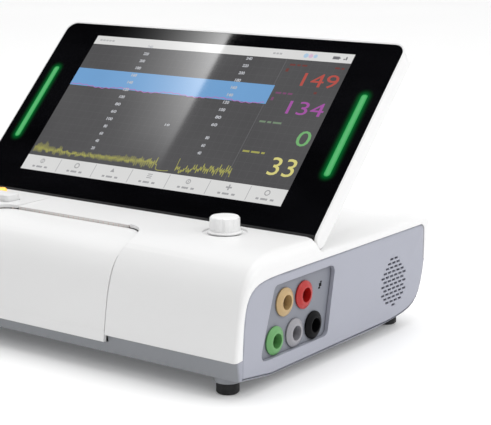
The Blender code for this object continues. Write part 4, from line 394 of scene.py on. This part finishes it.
def plot_ground(name):
    """The screen's dark ground with its faint chart grid."""
    look = Look(name, Emission_Strength=1.0, **GLASS)
    place = display_place(look)
    squares = look.stretched((1 / 0.0074,) * 3, place)
    grid = square_grid(look, squares, 0.035, Mortar_Smooth=0.6)
    cloud = look.ranged(look.noise(18, 4, place), 0.3, 0.7)
    ground = look.mixed(cloud, (0.078, 0.077, 0.080), (0.094, 0.093, 0.096))
    ground = look.mixed(look.math("MULTIPLY", grid, 0.22), ground, (0.14, 0.14, 0.145))
    look.set(look.shader, {"Emission_Color": ground})
    return look.material


SHELL_WHITE = (0.80, 0.80, 0.80)
# Painted light: the knob's white is paler than the shell's to stand in for the light on it
LIT_KNOB_WHITE = (0.89, 0.89, 0.89)
PANEL_GREY = (0.36, 0.37, 0.43)
# The base's grey is partly its own, a neutral darker grey, and partly painted shade for its front
# strip, which faces down
BASE_GREY_AND_SHADE = (0.25, 0.26, 0.28)
DARK_GREY = (0.205, 0.215, 0.25)
BLACK = (0.004, 0.004, 0.005)

LOOKS = {
    "white_plastic": glossy_plastic("white_plastic", SHELL_WHITE, 0.36),
    "grey_plastic": textured_plastic("grey_plastic", PANEL_GREY, 0.04, 0.06),
    "base_grey_plastic": textured_plastic(
        "base_grey_plastic", BASE_GREY_AND_SHADE, 0.04, 0.2, ends=PANEL_GREY
    ),
    "dark_grey_plastic": textured_plastic("dark_grey_plastic", DARK_GREY, 0.05, 0.15),
    "black_plastic": plastic(
        "black_plastic", BLACK, 0.42, 1000, 0.00005, wear=0.15, crevice_shade=0.10, Specular_IOR_Level=0.08
    ),
    "beige_plastic": socket_plastic("beige_plastic", (0.48, 0.33, 0.155), 0.34, 0.04),
    "red_plastic": socket_plastic("red_plastic", (0.43, 0.014, 0.012), 0.3, 0.05),
    "green_plastic": socket_plastic("green_plastic", (0.12, 0.33, 0.11), 0.32, 0.05),
    "pale_grey_plastic": socket_plastic("pale_grey_plastic", (0.29, 0.285, 0.31), 0.34, 0.04),
    "amber_plastic": lamp("amber_plastic", (0.95, 0.50, 0.10), 0.8),
    "green_light": light_bar("green_light"),
    "blue_plastic": shrink_wrap("blue_plastic", (0.05, 0.12, 0.36)),
    "black_glass": black_glass("black_glass"),
    "screen": plot_ground("screen"),
    "circuit_board": circuit_board("circuit_board"),
    "paper": chart_paper("paper"),
    "rubber": rubber("rubber", (0.012, 0.012, 0.013)),
    "steel": brushed("steel", (0.56, 0.56, 0.58), 0.34),
    "aluminium": metal_sheet("aluminium", (0.68, 0.68, 0.70)),
    "brass": brushed("brass", (0.72, 0.53, 0.25), 0.32),
}


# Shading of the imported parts

WELD_DISTANCE = 0.000004
SHARP_ANGLE = math.radians(50)


def smooth_faces():
    """Joins doubled corners, and shades smoothly across shallow edges only."""
    group = bpy.data.node_groups.new("smooth_faces", "GeometryNodeTree")
    for direction in ("INPUT", "OUTPUT"):
        group.interface.new_socket("Geometry", in_out=direction, socket_type="NodeSocketGeometry")
    add = group.nodes.new
    start, end = add("NodeGroupInput"), add("NodeGroupOutput")
    plain = add("GeometryNodeRemoveAttribute")
    plain.inputs["Name"].default_value = "custom_normal"
    weld = add("GeometryNodeMergeByDistance")
    weld.inputs["Distance"].default_value = WELD_DISTANCE
    soft = add("GeometryNodeSetShadeSmooth")
    hard = add("GeometryNodeSetShadeSmooth")
    hard.domain = "EDGE"
    hard.inputs["Shade Smooth"].default_value = False
    steep = add("FunctionNodeCompare")
    steep.operation = "GREATER_THAN"
    steep.inputs[1].default_value = SHARP_ANGLE
    angle = add("GeometryNodeInputMeshEdgeAngle").outputs["Unsigned Angle"]
    group.links.new(angle, steep.inputs[0])
    group.links.new(steep.outputs[0], hard.inputs["Selection"])
    chain = [start, plain, weld, soft, hard, end]
    for before, after in zip(chain, chain[1:]):
        group.links.new(before.outputs[0], after.inputs[0])
    return group


SMOOTH = smooth_faces()


def smoothed(obj):
    obj.modifiers.new("smooth", "NODES").node_group = SMOOTH
    weigh = obj.modifiers.new("weigh", "WEIGHTED_NORMAL")
    weigh.mode = "FACE_AREA_WITH_ANGLE"
    weigh.weight = 100
    weigh.keep_sharp = True


for part in frame["record"]["subparts"]:
    node = NODES[part["node"]]
    if not node.material_slots:
        node.data.materials.append(None)
    for holder in node.material_slots:
        holder.material = LOOKS[part["material_slot"]]
    smoothed(node)

# The knob is a little paler than the shell: painted light, for the light that falls on it
lit_knob_look = glossy_plastic("lit_knob_plastic", LIT_KNOB_WHITE, 0.32)
NODES["control_knob"].material_slots[0].material = lit_knob_look


# New pieces

def mesh_of(bm, name):
    mesh = bpy.data.meshes.new(name)
    bm.to_mesh(mesh)
    bm.free()
    return mesh


def finish_piece(name, mesh, look, body, place=None):
    """Puts a finished mesh in the scene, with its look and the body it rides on."""
    mesh.materials.clear()
    mesh.materials.append(look)
    piece = bpy.data.objects.new(name, mesh)
    bpy.context.scene.collection.objects.link(piece)
    if place is not None:
        piece.matrix_world = place
    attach(piece, body)


def join_rings(bm, first, second):
    """Faces between two rings of the same number of corners."""
    for i in range(len(first)):
        j = (i + 1) % len(first)
        bm.faces.new((first[i], first[j], second[j], second[i]))


def layer(number):
    """Lowest and highest level of a layer of the picture, the first just over the face."""
    return FACE + LAYER * (number - 1) + LAYER / 5, FACE + LAYER * number


def slabs(name, outlines, number, look):
    """Flat slabs in one layer of the picture, as one piece, each the shape of an outline."""
    low, high = layer(number)
    bm = bmesh.new()
    for outline in outlines:
        bottom = [bm.verts.new((x, y, low)) for x, y in outline]
        top = [bm.verts.new((x, y, high)) for x, y in outline]
        bm.faces.new(bottom[::-1])
        bm.faces.new(top)
        join_rings(bm, bottom, top)
    bmesh.ops.recalc_face_normals(bm, faces=bm.faces)
    finish_piece(name, mesh_of(bm, name), look, "display", DISPLAY)


def on_screen(u, v):
    return ((u - 0.5) * SCREEN_WIDTH, SCREEN_BOTTOM + v * SCREEN_HEIGHT)


def patch(u0, v0, u1, v1):
    (x0, y0), (x1, y1) = on_screen(u0, v0), on_screen(u1, v1)
    return [(x0, y0), (x1, y0), (x1, y1), (x0, y1)]


def disc(u, v, radius, sides=14, start=0.0):
    x, y = on_screen(u, v)
    angles = [start + 2 * math.pi * i / sides for i in range(sides)]
    return [(x + radius * math.cos(a), y + radius * math.sin(a)) for a in angles]


def ring(u, v, radius, width, sides=12):
    """A ring as a run of four-cornered outlines."""
    x, y = on_screen(u, v)
    inner = radius - width
    parts = []
    for i in range(sides):
        start, end = 2 * math.pi * i / sides, 2 * math.pi * (i + 1) / sides
        corners = ((start, radius), (end, radius), (end, inner), (start, inner))
        parts.append([(x + r * math.cos(a), y + r * math.sin(a)) for a, r in corners])
    return parts


def lettering(name, items, look, number=2, weight=0.0):
    """Digits as one flat piece. Each item is a text and its box on the screen, u0, v0, u1, v1.

    The text's own thickness doesn't count: its two sides go to the levels of the layer.
    """
    low, high = layer(number)
    bm = bmesh.new()
    for text, u0, v0, u1, v1 in items:
        curve = bpy.data.curves.new(name, "FONT")
        curve.body = text
        curve.resolution_u = 3
        curve.extrude = 0.5
        curve.offset = weight
        writer = bpy.data.objects.new(name + "_text", curve)
        bpy.context.scene.collection.objects.link(writer)
        bpy.context.view_layer.update()
        evaluated = writer.evaluated_get(bpy.context.evaluated_depsgraph_get())
        made = bpy.data.meshes.new_from_object(evaluated)
        xs = [v.co.x for v in made.vertices]
        ys = [v.co.y for v in made.vertices]
        (x0, y0), (x1, y1) = on_screen(u0, v0), on_screen(u1, v1)
        for vertex in made.vertices:
            x = x0 + (vertex.co.x - min(xs)) / (max(xs) - min(xs)) * (x1 - x0)
            y = y0 + (vertex.co.y - min(ys)) / (max(ys) - min(ys)) * (y1 - y0)
            vertex.co = (x, y, high if vertex.co.z > 0 else low)
        bm.from_mesh(made)
        bpy.data.objects.remove(writer)
        bpy.data.curves.remove(curve)
        bpy.data.meshes.remove(made)
    bmesh.ops.remove_doubles(bm, verts=bm.verts, dist=1e-7)
    finish_piece(name, mesh_of(bm, name), look, "display", DISPLAY)


def ribbon(points, width):
    """A line of given width in metres through points on the screen, as overlapping quads."""
    flat = [on_screen(u, v) for u, v in points]
    parts = []
    for (x0, y0), (x1, y1) in zip(flat, flat[1:]):
        length = math.hypot(x1 - x0, y1 - y0)
        ox, oy = -(y1 - y0) / length * width / 2, (x1 - x0) / length * width / 2
        ex, ey = (x1 - x0) / length * width / 4, (y1 - y0) / length * width / 4
        parts.append([
            (x0 - ex - ox, y0 - ey - oy),
            (x1 + ex - ox, y1 + ey - oy),
            (x1 + ex + ox, y1 + ey + oy),
            (x0 - ex + ox, y0 - ey + oy),
        ])
    return parts


# Screen contents: status bar on top, plot on the left, numbers on the right, menu at the bottom

STATUS_V = 0.937
MENU_V = 0.102
PLOT_END_U = 0.775
BAND_V = (0.622, 0.751)
CELLS = (0.0, 0.145, 0.290, 0.435, 0.580, 0.730, 0.875, 1.0)
DIVIDER_HALF = 0.0012
DIVIDER_GAP = 0.006
EDGE_HALF = 0.001
EDGE_GAP = 0.002

PALE = lit("screen_pale", (0.69, 0.69, 0.685))
BLUE = lit("screen_blue", (0.165, 0.35, 0.62))
DARK = lit("screen_dark", (0.16, 0.16, 0.17))
INK = lit("screen_ink", (0.36, 0.36, 0.37))
TICK = lit("screen_tick", (0.47, 0.48, 0.51))
LINE = lit("screen_line", (0.135, 0.135, 0.14))
EDGE = lit("screen_edge", (0.44, 0.44, 0.45))
RED = lit("screen_red", (0.44, 0.085, 0.070))
MAGENTA = lit("screen_magenta", (0.36, 0.095, 0.36))
GREEN = lit("screen_green", (0.18, 0.43, 0.17))
YELLOW = lit("screen_yellow", (0.66, 0.61, 0.22))
OCHRE = lit("screen_ochre", (0.36, 0.35, 0.10))
PINK = lit("screen_pink", (0.42, 0.16, 0.46))
PALE_BLUE = lit("screen_pale_blue", (0.42, 0.58, 0.74))
PALE_PINK = lit("screen_pale_pink", (0.66, 0.48, 0.62))
DIM_RED = lit("screen_dim_red", (0.16, 0.055, 0.05))
DIM_MAGENTA = lit("screen_dim_magenta", (0.20, 0.075, 0.16))
DIM_GREEN = lit("screen_dim_green", (0.18, 0.25, 0.17))

slabs("screen_bars", [patch(0, STATUS_V, 1, 1), patch(0, 0, 1, MENU_V)], 1, PALE)
slabs("screen_band", [patch(0, BAND_V[0], PLOT_END_U + 0.005, BAND_V[1])], 1, BLUE)


def upright(u, half, low, high):
    return patch(u - half, low, u + half, high)


dividers = [upright(u, DIVIDER_HALF, DIVIDER_GAP, MENU_V - DIVIDER_GAP) for u in CELLS[1:-1]]
slabs("screen_dividers", dividers, 2, EDGE)
plot_edge = [
    upright(PLOT_END_U, EDGE_HALF, MENU_V, BAND_V[0] - EDGE_GAP),
    upright(PLOT_END_U, EDGE_HALF, BAND_V[1] + EDGE_GAP, STATUS_V),
]
slabs("screen_plot_edge", plot_edge, 2, LINE)

ICON_V = 0.068
ICON_TEXT_V = (0.021, 0.033)
ICON_TEXT_WIDTHS = (0.010, 0.016, 0.007, 0.012)


def menu_icons():
    """A small sign and a dash for each word in every cell of the menu."""
    parts = []
    centres = [(a + b) / 2 for a, b in zip(CELLS, CELLS[1:])]
    v = ICON_V
    for number, u in enumerate(centres):
        if number in (0, 4):
            parts += ring(u, v, 0.0023, 0.0007)
            parts.append(upright(u, 0.0012, v - 0.010, v + 0.010))
        elif number in (1, 6):
            parts += ring(u, v, 0.0026, 0.0009)
        elif number == 2:
            parts.append(disc(u, v, 0.0024, 3, math.pi / 2))
        elif number == 3:
            parts += [upright(u, 0.009, v + k, v + k + 0.005) for k in (-0.014, -0.002, 0.010)]
        else:
            parts.append(upright(u, 0.0105, v - 0.005, v + 0.005))
            parts.append(upright(u, 0.0026, v - 0.018, v - 0.0055))
            parts.append(upright(u, 0.0026, v + 0.0055, v + 0.018))
        for k, width in enumerate(ICON_TEXT_WIDTHS):
            left = u - 0.030 + k * 0.0165
            parts.append(patch(left, ICON_TEXT_V[0], left + width, ICON_TEXT_V[1]))
    return parts


slabs("screen_icons", menu_icons(), 3, INK)

STATUS_TEXT_V = (0.962, 0.974)
STATUS_DISC_V = 0.968


def status_dashes(left, right, pitch, count):
    low, high = STATUS_TEXT_V
    return [patch(left + k * pitch, low, right + k * pitch, high) for k in range(count)]


status = status_dashes(0.020, 0.029, 0.013, 5) + status_dashes(0.715, 0.724, 0.012, 3)
slabs("screen_status", status, 2, EDGE)
blue_discs = [disc(0.835, STATUS_DISC_V, 0.0022), disc(0.869, STATUS_DISC_V, 0.0018)]
slabs("screen_status_blue", blue_discs, 2, PALE_BLUE)
slabs("screen_status_pink", [disc(0.852, STATUS_DISC_V, 0.0020)], 2, PALE_PINK)
battery = [
    patch(0.930, 0.958, 0.953, 0.978),
    patch(0.953, 0.964, 0.957, 0.972),
    patch(0.968, 0.958, 0.973, 0.966),
    patch(0.975, 0.958, 0.980, 0.978),
]
slabs("screen_battery", battery, 2, DARK)

TICK_HALF_HEIGHT = 0.0105
TICK_WEIGHT = 0.035


def scale_items(u, top, pitch, lower):
    """Tiny numbers down the plot: heart rate from the top, then the given contraction numbers."""
    numbers = [(240 - 20 * i, top - pitch * i, 0.011) for i in range(10)]
    numbers += [(number, v, 0.012 if number == 100 else 0.007) for number, v in lower]
    return [
        (str(number), u - half, v - TICK_HALF_HEIGHT, u + half, v + TICK_HALF_HEIGHT)
        for number, v, half in numbers
    ]


left_lower = ((100, 0.410), (80, 0.357), (60, 0.305), (40, 0.252), (20, 0.200))
right_lower = ((80, 0.360), (60, 0.308), (40, 0.257))
ticks = scale_items(0.240, 0.945, 0.0535, left_lower)
ticks += scale_items(0.640, 0.918, 0.0520, right_lower)
ticks.append(("10", 0.462, 0.405, 0.480, 0.421))
lettering("screen_scale", ticks, TICK, 3, TICK_WEIGHT)

lettering("screen_rate_1", [("149", 0.864, 0.762, 0.988, 0.852)], RED)
lettering("screen_rate_2", [("134", 0.862, 0.572, 0.988, 0.660)], MAGENTA)
lettering("screen_movement", [("0", 0.944, 0.375, 0.990, 0.475)], GREEN)
lettering("screen_contraction", [("33", 0.901, 0.177, 0.988, 0.291)], YELLOW)


def caption(u, v, widths, height=0.012):
    """A dash for each word of a label."""
    parts = []
    for width in widths:
        parts.append(patch(u, v, u + width, v + height))
        u += width + 0.006
    return parts


red_marks = caption(0.795, 0.893, (0.020, 0.012, 0.018)) + caption(0.955, 0.893, (0.016, 0.010))
red_marks += caption(0.790, 0.850, (0.010,), 0.022) + caption(0.925, 0.716, (0.010,), 0.014)
slabs("screen_labels_red", red_marks, 2, DIM_RED)
magenta_marks = caption(0.795, 0.697, (0.020, 0.012, 0.016))
magenta_marks += caption(0.790, 0.650, (0.008,), 0.022)
slabs("screen_labels_magenta", magenta_marks, 2, DIM_MAGENTA)
slabs("screen_labels_green", caption(0.790, 0.500, (0.022, 0.014, 0.030)), 2, DIM_GREEN)
slabs("screen_labels_yellow", caption(0.785, 0.300, (0.024, 0.030, 0.012)), 2, OCHRE)

TRACE_WIDTH = 0.00055
FIRST_COUNT = 330
SECOND_COUNT = 130


def wobble(k):
    """A restless value between -1 and 1, the same in every run."""
    return math.sin(k * 2.399) * 0.55 + math.sin(k * 5.113 + 1.3) * 0.45


def swell(share, height, centre, width):
    """A rounded rise along the trace, at its highest at the centre."""
    return height * math.exp(-((share - centre) / width) ** 2)


def contraction_trace():
    """Two stretches of a restless trace, with the drop between them."""
    first = []
    for k in range(FIRST_COUNT):
        share = k / (FIRST_COUNT - 1)
        rise = swell(share, 0.030, 0.06, 0.08) + swell(share, 0.016, 0.21, 0.04)
        size = 0.012 + 0.024 * share ** 1.5
        middle = 0.138 + 0.018 * share + 0.6 * rise
        middle += 0.005 * math.sin(k * 0.29) + 0.003 * math.sin(k * 0.77)
        first.append((0.008 + 0.498 * share, middle + (size + rise) * wobble(k)))
    drop = [(0.510, 0.150), (0.514, 0.118), (0.524, 0.112), (0.545, 0.113), (0.562, 0.118)]
    second = []
    for k in range(SECOND_COUNT):
        share = k / (SECOND_COUNT - 1)
        size = 0.014 + 0.020 * share
        drift = 0.010 * math.sin(k * 0.33) + 0.006 * math.sin(k * 0.81 + 1.0)
        middle = 0.152 - swell(share, 0.022, 0.13, 0.18) + 0.014 * share + drift
        second.append((0.585 + 0.198 * share, middle + size * wobble(k + 7)))
    spike = [(0.584, 0.205), (0.5865, 0.125), (0.589, 0.150)]
    return ribbon(first + drop, TRACE_WIDTH) + ribbon(spike + second, TRACE_WIDTH)


slabs("screen_contraction_trace", contraction_trace(), 4, OCHRE)


HEART_WIDTH = 0.00060
HEART_POINTS = 160


def heart_trace(start, end, level, phase):
    """A calm trace; HEART_POINTS of its points go to the screen's width."""
    count = int((end - start) * HEART_POINTS)
    points = []
    for k in range(count):
        drift = math.sin(k * 0.21 + phase) * 0.007 + math.sin(k * 1.37 + phase) * 0.0035
        points.append((start + (end - start) * k / (count - 1), level + drift))
    return ribbon(points, HEART_WIDTH)


slabs("screen_heart_trace", heart_trace(0.004, 0.772, 0.626, 0.4), 2, PINK)


# Small fittings

def boxes(name, corners, look, body):
    """One piece of small blocks, each from its lowest to its highest corner."""
    bm = bmesh.new()
    for low, high in corners:
        size = Vector(high) - Vector(low)
        centre = (Vector(low) + Vector(high)) / 2
        matrix = Matrix.Translation(centre) @ Matrix.Diagonal((*size, 1))
        made = bmesh.ops.create_cube(bm, size=1, matrix=matrix)
        edges = list({edge for vertex in made["verts"] for edge in vertex.link_edges})
        bmesh.ops.bevel(bm, geom=edges, offset=min(size) * 0.2, segments=2, affect="EDGES")
    finish_piece(name, mesh_of(bm, name), look, body)


def block_row(x, count, pitch, half, depths, levels):
    """Corners of equal blocks side by side about x, with their reach in y and in z."""
    middles = [x + (k - (count - 1) / 2) * pitch for k in range(count)]
    return [
        ((middle - half, depths[0], levels[0]), (middle + half, depths[1], levels[1]))
        for middle in middles
    ]


net_low, net_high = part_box("network_socket")
net_x = (net_low.x + net_high.x) / 2
net_depths = (net_high.y - 0.0110, net_high.y - 0.0030)
net_levels = (net_low.z + 0.0022, net_low.z + 0.0027)
contacts = block_row(net_x, 8, 0.00102, 0.00022, net_depths, net_levels)
boxes("network_contacts", contacts, LOOKS["brass"], "case")

usb_low, usb_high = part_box("usb_socket")
usb_middle = (usb_low + usb_high) / 2
tongue_depths = (usb_high.y - 0.0115, usb_high.y - 0.0012)
tongue_levels = (usb_middle.z + 0.0002, usb_middle.z + 0.0020)
tongue = block_row(usb_middle.x, 1, 0, 0.0054, tongue_depths, tongue_levels)
boxes("usb_tongue", tongue, LOOKS["black_plastic"], "case")
lead_depths = (usb_high.y - 0.0100, usb_high.y - 0.0025)
lead_levels = (usb_middle.z + 0.00005, usb_middle.z + 0.0003)
leads = block_row(usb_middle.x, 4, 0.0024, 0.0005, lead_depths, lead_levels)
boxes("usb_contacts", leads, LOOKS["brass"], "case")

plate_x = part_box("connector_plate")[1].x
mark_x = (plate_x - 0.00005, plate_x + 0.00015)
mark_blocks = (
    ((-0.0246, 0.0572), (-0.0216, 0.0597)),
    ((-0.0254, 0.0557), (-0.0232, 0.0570)),
    ((-0.0229, 0.0599), (-0.0212, 0.0610)),
)
mark = [((mark_x[0], *low), (mark_x[1], *high)) for low, high in mark_blocks]
boxes("plate_mark", mark, LOOKS["black_plastic"], "case")

LEAD_X = (-0.077, 0.035)
LEAD_THICKNESS = 0.0001
LEAD_STEPS = 4
# y and z of the paper's middle, from the top of the pack to the slot
LEAD_PATH = (
    (-0.0960, 0.05812), (-0.0880, 0.05812), (-0.0815, 0.0586), (-0.0775, 0.0606),
    (-0.0760, 0.0640), (-0.07585, 0.0680), (-0.07585, 0.0760), (-0.07585, 0.0808),
    (-0.0753, 0.0830), (-0.0738, 0.0848), (-0.0718, 0.0861), (-0.0706, 0.0873),
    (-0.0702, 0.0888), (-0.0702, 0.0902), (-0.0702, 0.0916),
)


def smooth_line(knots, steps):
    """Points of a Catmull-Rom curve through all knots."""
    knots = [Vector(p) for p in (knots[0], *knots, knots[-1])]
    line = []
    for a, b, c, d in zip(knots, knots[1:], knots[2:], knots[3:]):
        for step in range(steps):
            t = step / steps
            square = (2 * a - 5 * b + 4 * c - d) * t**2
            cube = (3 * b - a - 3 * c + d) * t**3
            line.append(0.5 * (2 * b + (c - a) * t + square + cube))
    return [*line, knots[-1]]


def paper_lead():
    """The chart paper's end, from the pack past the print head up into the slot."""
    line = smooth_line(LEAD_PATH, LEAD_STEPS)
    left, right = LEAD_X
    bm = bmesh.new()
    rings = []
    for k, point in enumerate(line):
        along = (line[min(k + 1, len(line) - 1)] - line[max(k - 1, 0)]).normalized()
        aside = Vector((-along.y, along.x)) * LEAD_THICKNESS / 2
        low, high = point - aside, point + aside
        corners = ((left, *low), (right, *low), (right, *high), (left, *high))
        rings.append([bm.verts.new(corner) for corner in corners])
    for first, second in zip(rings, rings[1:]):
        join_rings(bm, first, second)
    bm.faces.new(rings[0][::-1])
    bm.faces.new(rings[-1])
    bmesh.ops.recalc_face_normals(bm, faces=bm.faces)
    for face in bm.faces:
        face.smooth = len(face.verts) == 4 and face.normal.x == 0
    look = chart_paper("lead_paper", folded=False)
    finish_piece("paper_lead", mesh_of(bm, "paper_lead"), look, "case")


paper_lead()


# Floor, light and camera

FLOOR_SIDE = 30.0


def floor():
    look = Look("floor", Roughness=0.6, Emission_Color=(1, 1, 1), Emission_Strength=0.07)
    cloud = look.ranged(look.noise(3, 3), 0.3, 0.7)
    look.colour(look.mixed(cloud, (0.94, 0.94, 0.94), (0.96, 0.96, 0.96)))
    look.bump(look.noise(300, 2), 0.00002)
    mesh = bpy.data.meshes.new("floor")
    half = FLOOR_SIDE / 2
    corners = [(-half, -half, 0), (half, -half, 0), (half, half, 0), (-half, half, 0)]
    mesh.from_pydata(corners, [], [(0, 1, 2, 3)])
    mesh.materials.append(look.material)
    piece = bpy.data.objects.new("floor", mesh)
    bpy.context.scene.collection.objects.link(piece)


def sky(strength, front_strength):
    """White all round, dimmer towards the front."""
    world = bpy.data.worlds.new("studio")
    world.use_nodes = True
    tree = world.node_tree
    ground = tree.nodes["Background"]
    ground.inputs["Color"].default_value = (1.0, 1.0, 1.0, 1)
    place = tree.nodes.new("ShaderNodeTexCoord")
    parts = tree.nodes.new("ShaderNodeSeparateXYZ")
    fade = tree.nodes.new("ShaderNodeMapRange")
    fade.inputs["From Min"].default_value = -1.0
    fade.inputs["From Max"].default_value = -0.1
    fade.inputs["To Min"].default_value = front_strength
    fade.inputs["To Max"].default_value = strength
    tree.links.new(place.outputs["Generated"], parts.inputs[0])
    tree.links.new(parts.outputs["Y"], fade.inputs["Value"])
    tree.links.new(fade.outputs[0], ground.inputs["Strength"])
    bpy.context.scene.world = world


def soft_light(name, place, aim, size, power):
    data = bpy.data.lights.new(name, "AREA")
    data.shape = "RECTANGLE"
    data.size, data.size_y = size
    data.energy = power
    light = bpy.data.objects.new(name, data)
    bpy.context.scene.collection.objects.link(light)
    light.location = place
    light.rotation_euler = (Vector(aim) - Vector(place)).to_track_quat("-Z", "Y").to_euler()


# Where card and flag show on the glass, in shares of the screen, and how far from it they stand
GLARE_U = (-0.10, 0.522)
GLARE_V = (-0.35, 1.35)
GLARE_DISTANCE = 1.1
FLAG_U = (-0.6, 1.7)
FLAG_V = (-0.9, 1.9)
FLAG_DISTANCE = 1.2
# The glow rises with v between these, and towards the straight edge with this power
GLOW_V = (0.12, 1.0)
GLOW_POWER = 4.0
GLOW_STRENGTH = 9.0


def mirrored(u, v, distance):
    """The point that the camera sees mirrored in the glass at a place on the screen."""
    eye = Vector(CAMERA_PLACE)
    out = DISPLAY.to_3x3() @ Vector((0, 0, 1))
    point = DISPLAY @ Vector((*on_screen(u, v), FACE))
    ray = (point - eye).normalized()
    ray -= 2 * ray.dot(out) * out
    return point + ray * distance


def stage_card(name, across, up, distance, look):
    """A four-cornered card that only glossy surfaces see."""
    (left, right), (low, high) = across, up
    shares = ((left, low), (right, low), (right, high), (left, high))
    mesh = bpy.data.meshes.new(name)
    mesh.from_pydata([tuple(mirrored(u, v, distance)) for u, v in shares], [], [(0, 1, 2, 3)])
    uv = mesh.uv_layers.new(name="share")
    for loop, share in zip(uv.data, ((0, 0), (1, 0), (1, 1), (0, 1))):
        loop.uv = share
    mesh.materials.append(look.material)
    card = bpy.data.objects.new(name, mesh)
    bpy.context.scene.collection.objects.link(card)
    card.visible_camera = False
    card.visible_diffuse = False
    card.visible_shadow = False
    card.visible_transmission = False


def glare():
    """A lit card before a black flag, for the glass to mirror. It brightens to a straight edge."""
    look = Look("glare_card")
    look.tree.nodes.remove(look.shader)
    share = look.add("ShaderNodeUVMap").outputs[0]
    across = look.math("POWER", look.coordinate("X", share), GLOW_POWER)
    reach = GLARE_V[1] - GLARE_V[0]
    start, end = [(v - GLARE_V[0]) / reach for v in GLOW_V]
    up = look.ranged(look.coordinate("Y", share), start, end)
    strength = look.math("MULTIPLY", look.math("MULTIPLY", across, up), GLOW_STRENGTH)
    glow = look.add("ShaderNodeEmission", Strength=strength).outputs[0]
    look.feed(look.tree.nodes["Material Output"].inputs["Surface"], glow)
    stage_card("glare_card", GLARE_U, GLARE_V, GLARE_DISTANCE, look)
    flag = Look("black_flag", Base_Color=(0, 0, 0), Specular_IOR_Level=0)
    stage_card("black_flag", FLAG_U, FLAG_V, FLAG_DISTANCE, flag)


floor()
sky(strength=1.03, front_strength=0.40)
soft_light("overhead", (-0.05, 0.15, 1.60), aim=(0, 0, 0.05), size=(1.2, 1.2), power=7.5)
soft_light("right_key", (1.30, 0.30, 1.10), aim=(0.05, 0, 0.08), size=(0.6, 0.6), power=4)
glare()

camera = bpy.data.cameras.new("camera")
camera.sensor_width = SENSOR_WIDTH
camera.sensor_fit = "HORIZONTAL"
camera.lens = CAMERA_LENS
camera.clip_start = CLIP_START
camera.clip_end = CLIP_END
viewer = bpy.data.objects.new("camera", camera)
bpy.context.scene.collection.objects.link(viewer)
viewer.location = CAMERA_PLACE
viewer.rotation_euler = CAMERA_TURN
bpy.context.scene.camera = viewer
bpy.context.scene.view_settings.view_transform = "Standard"
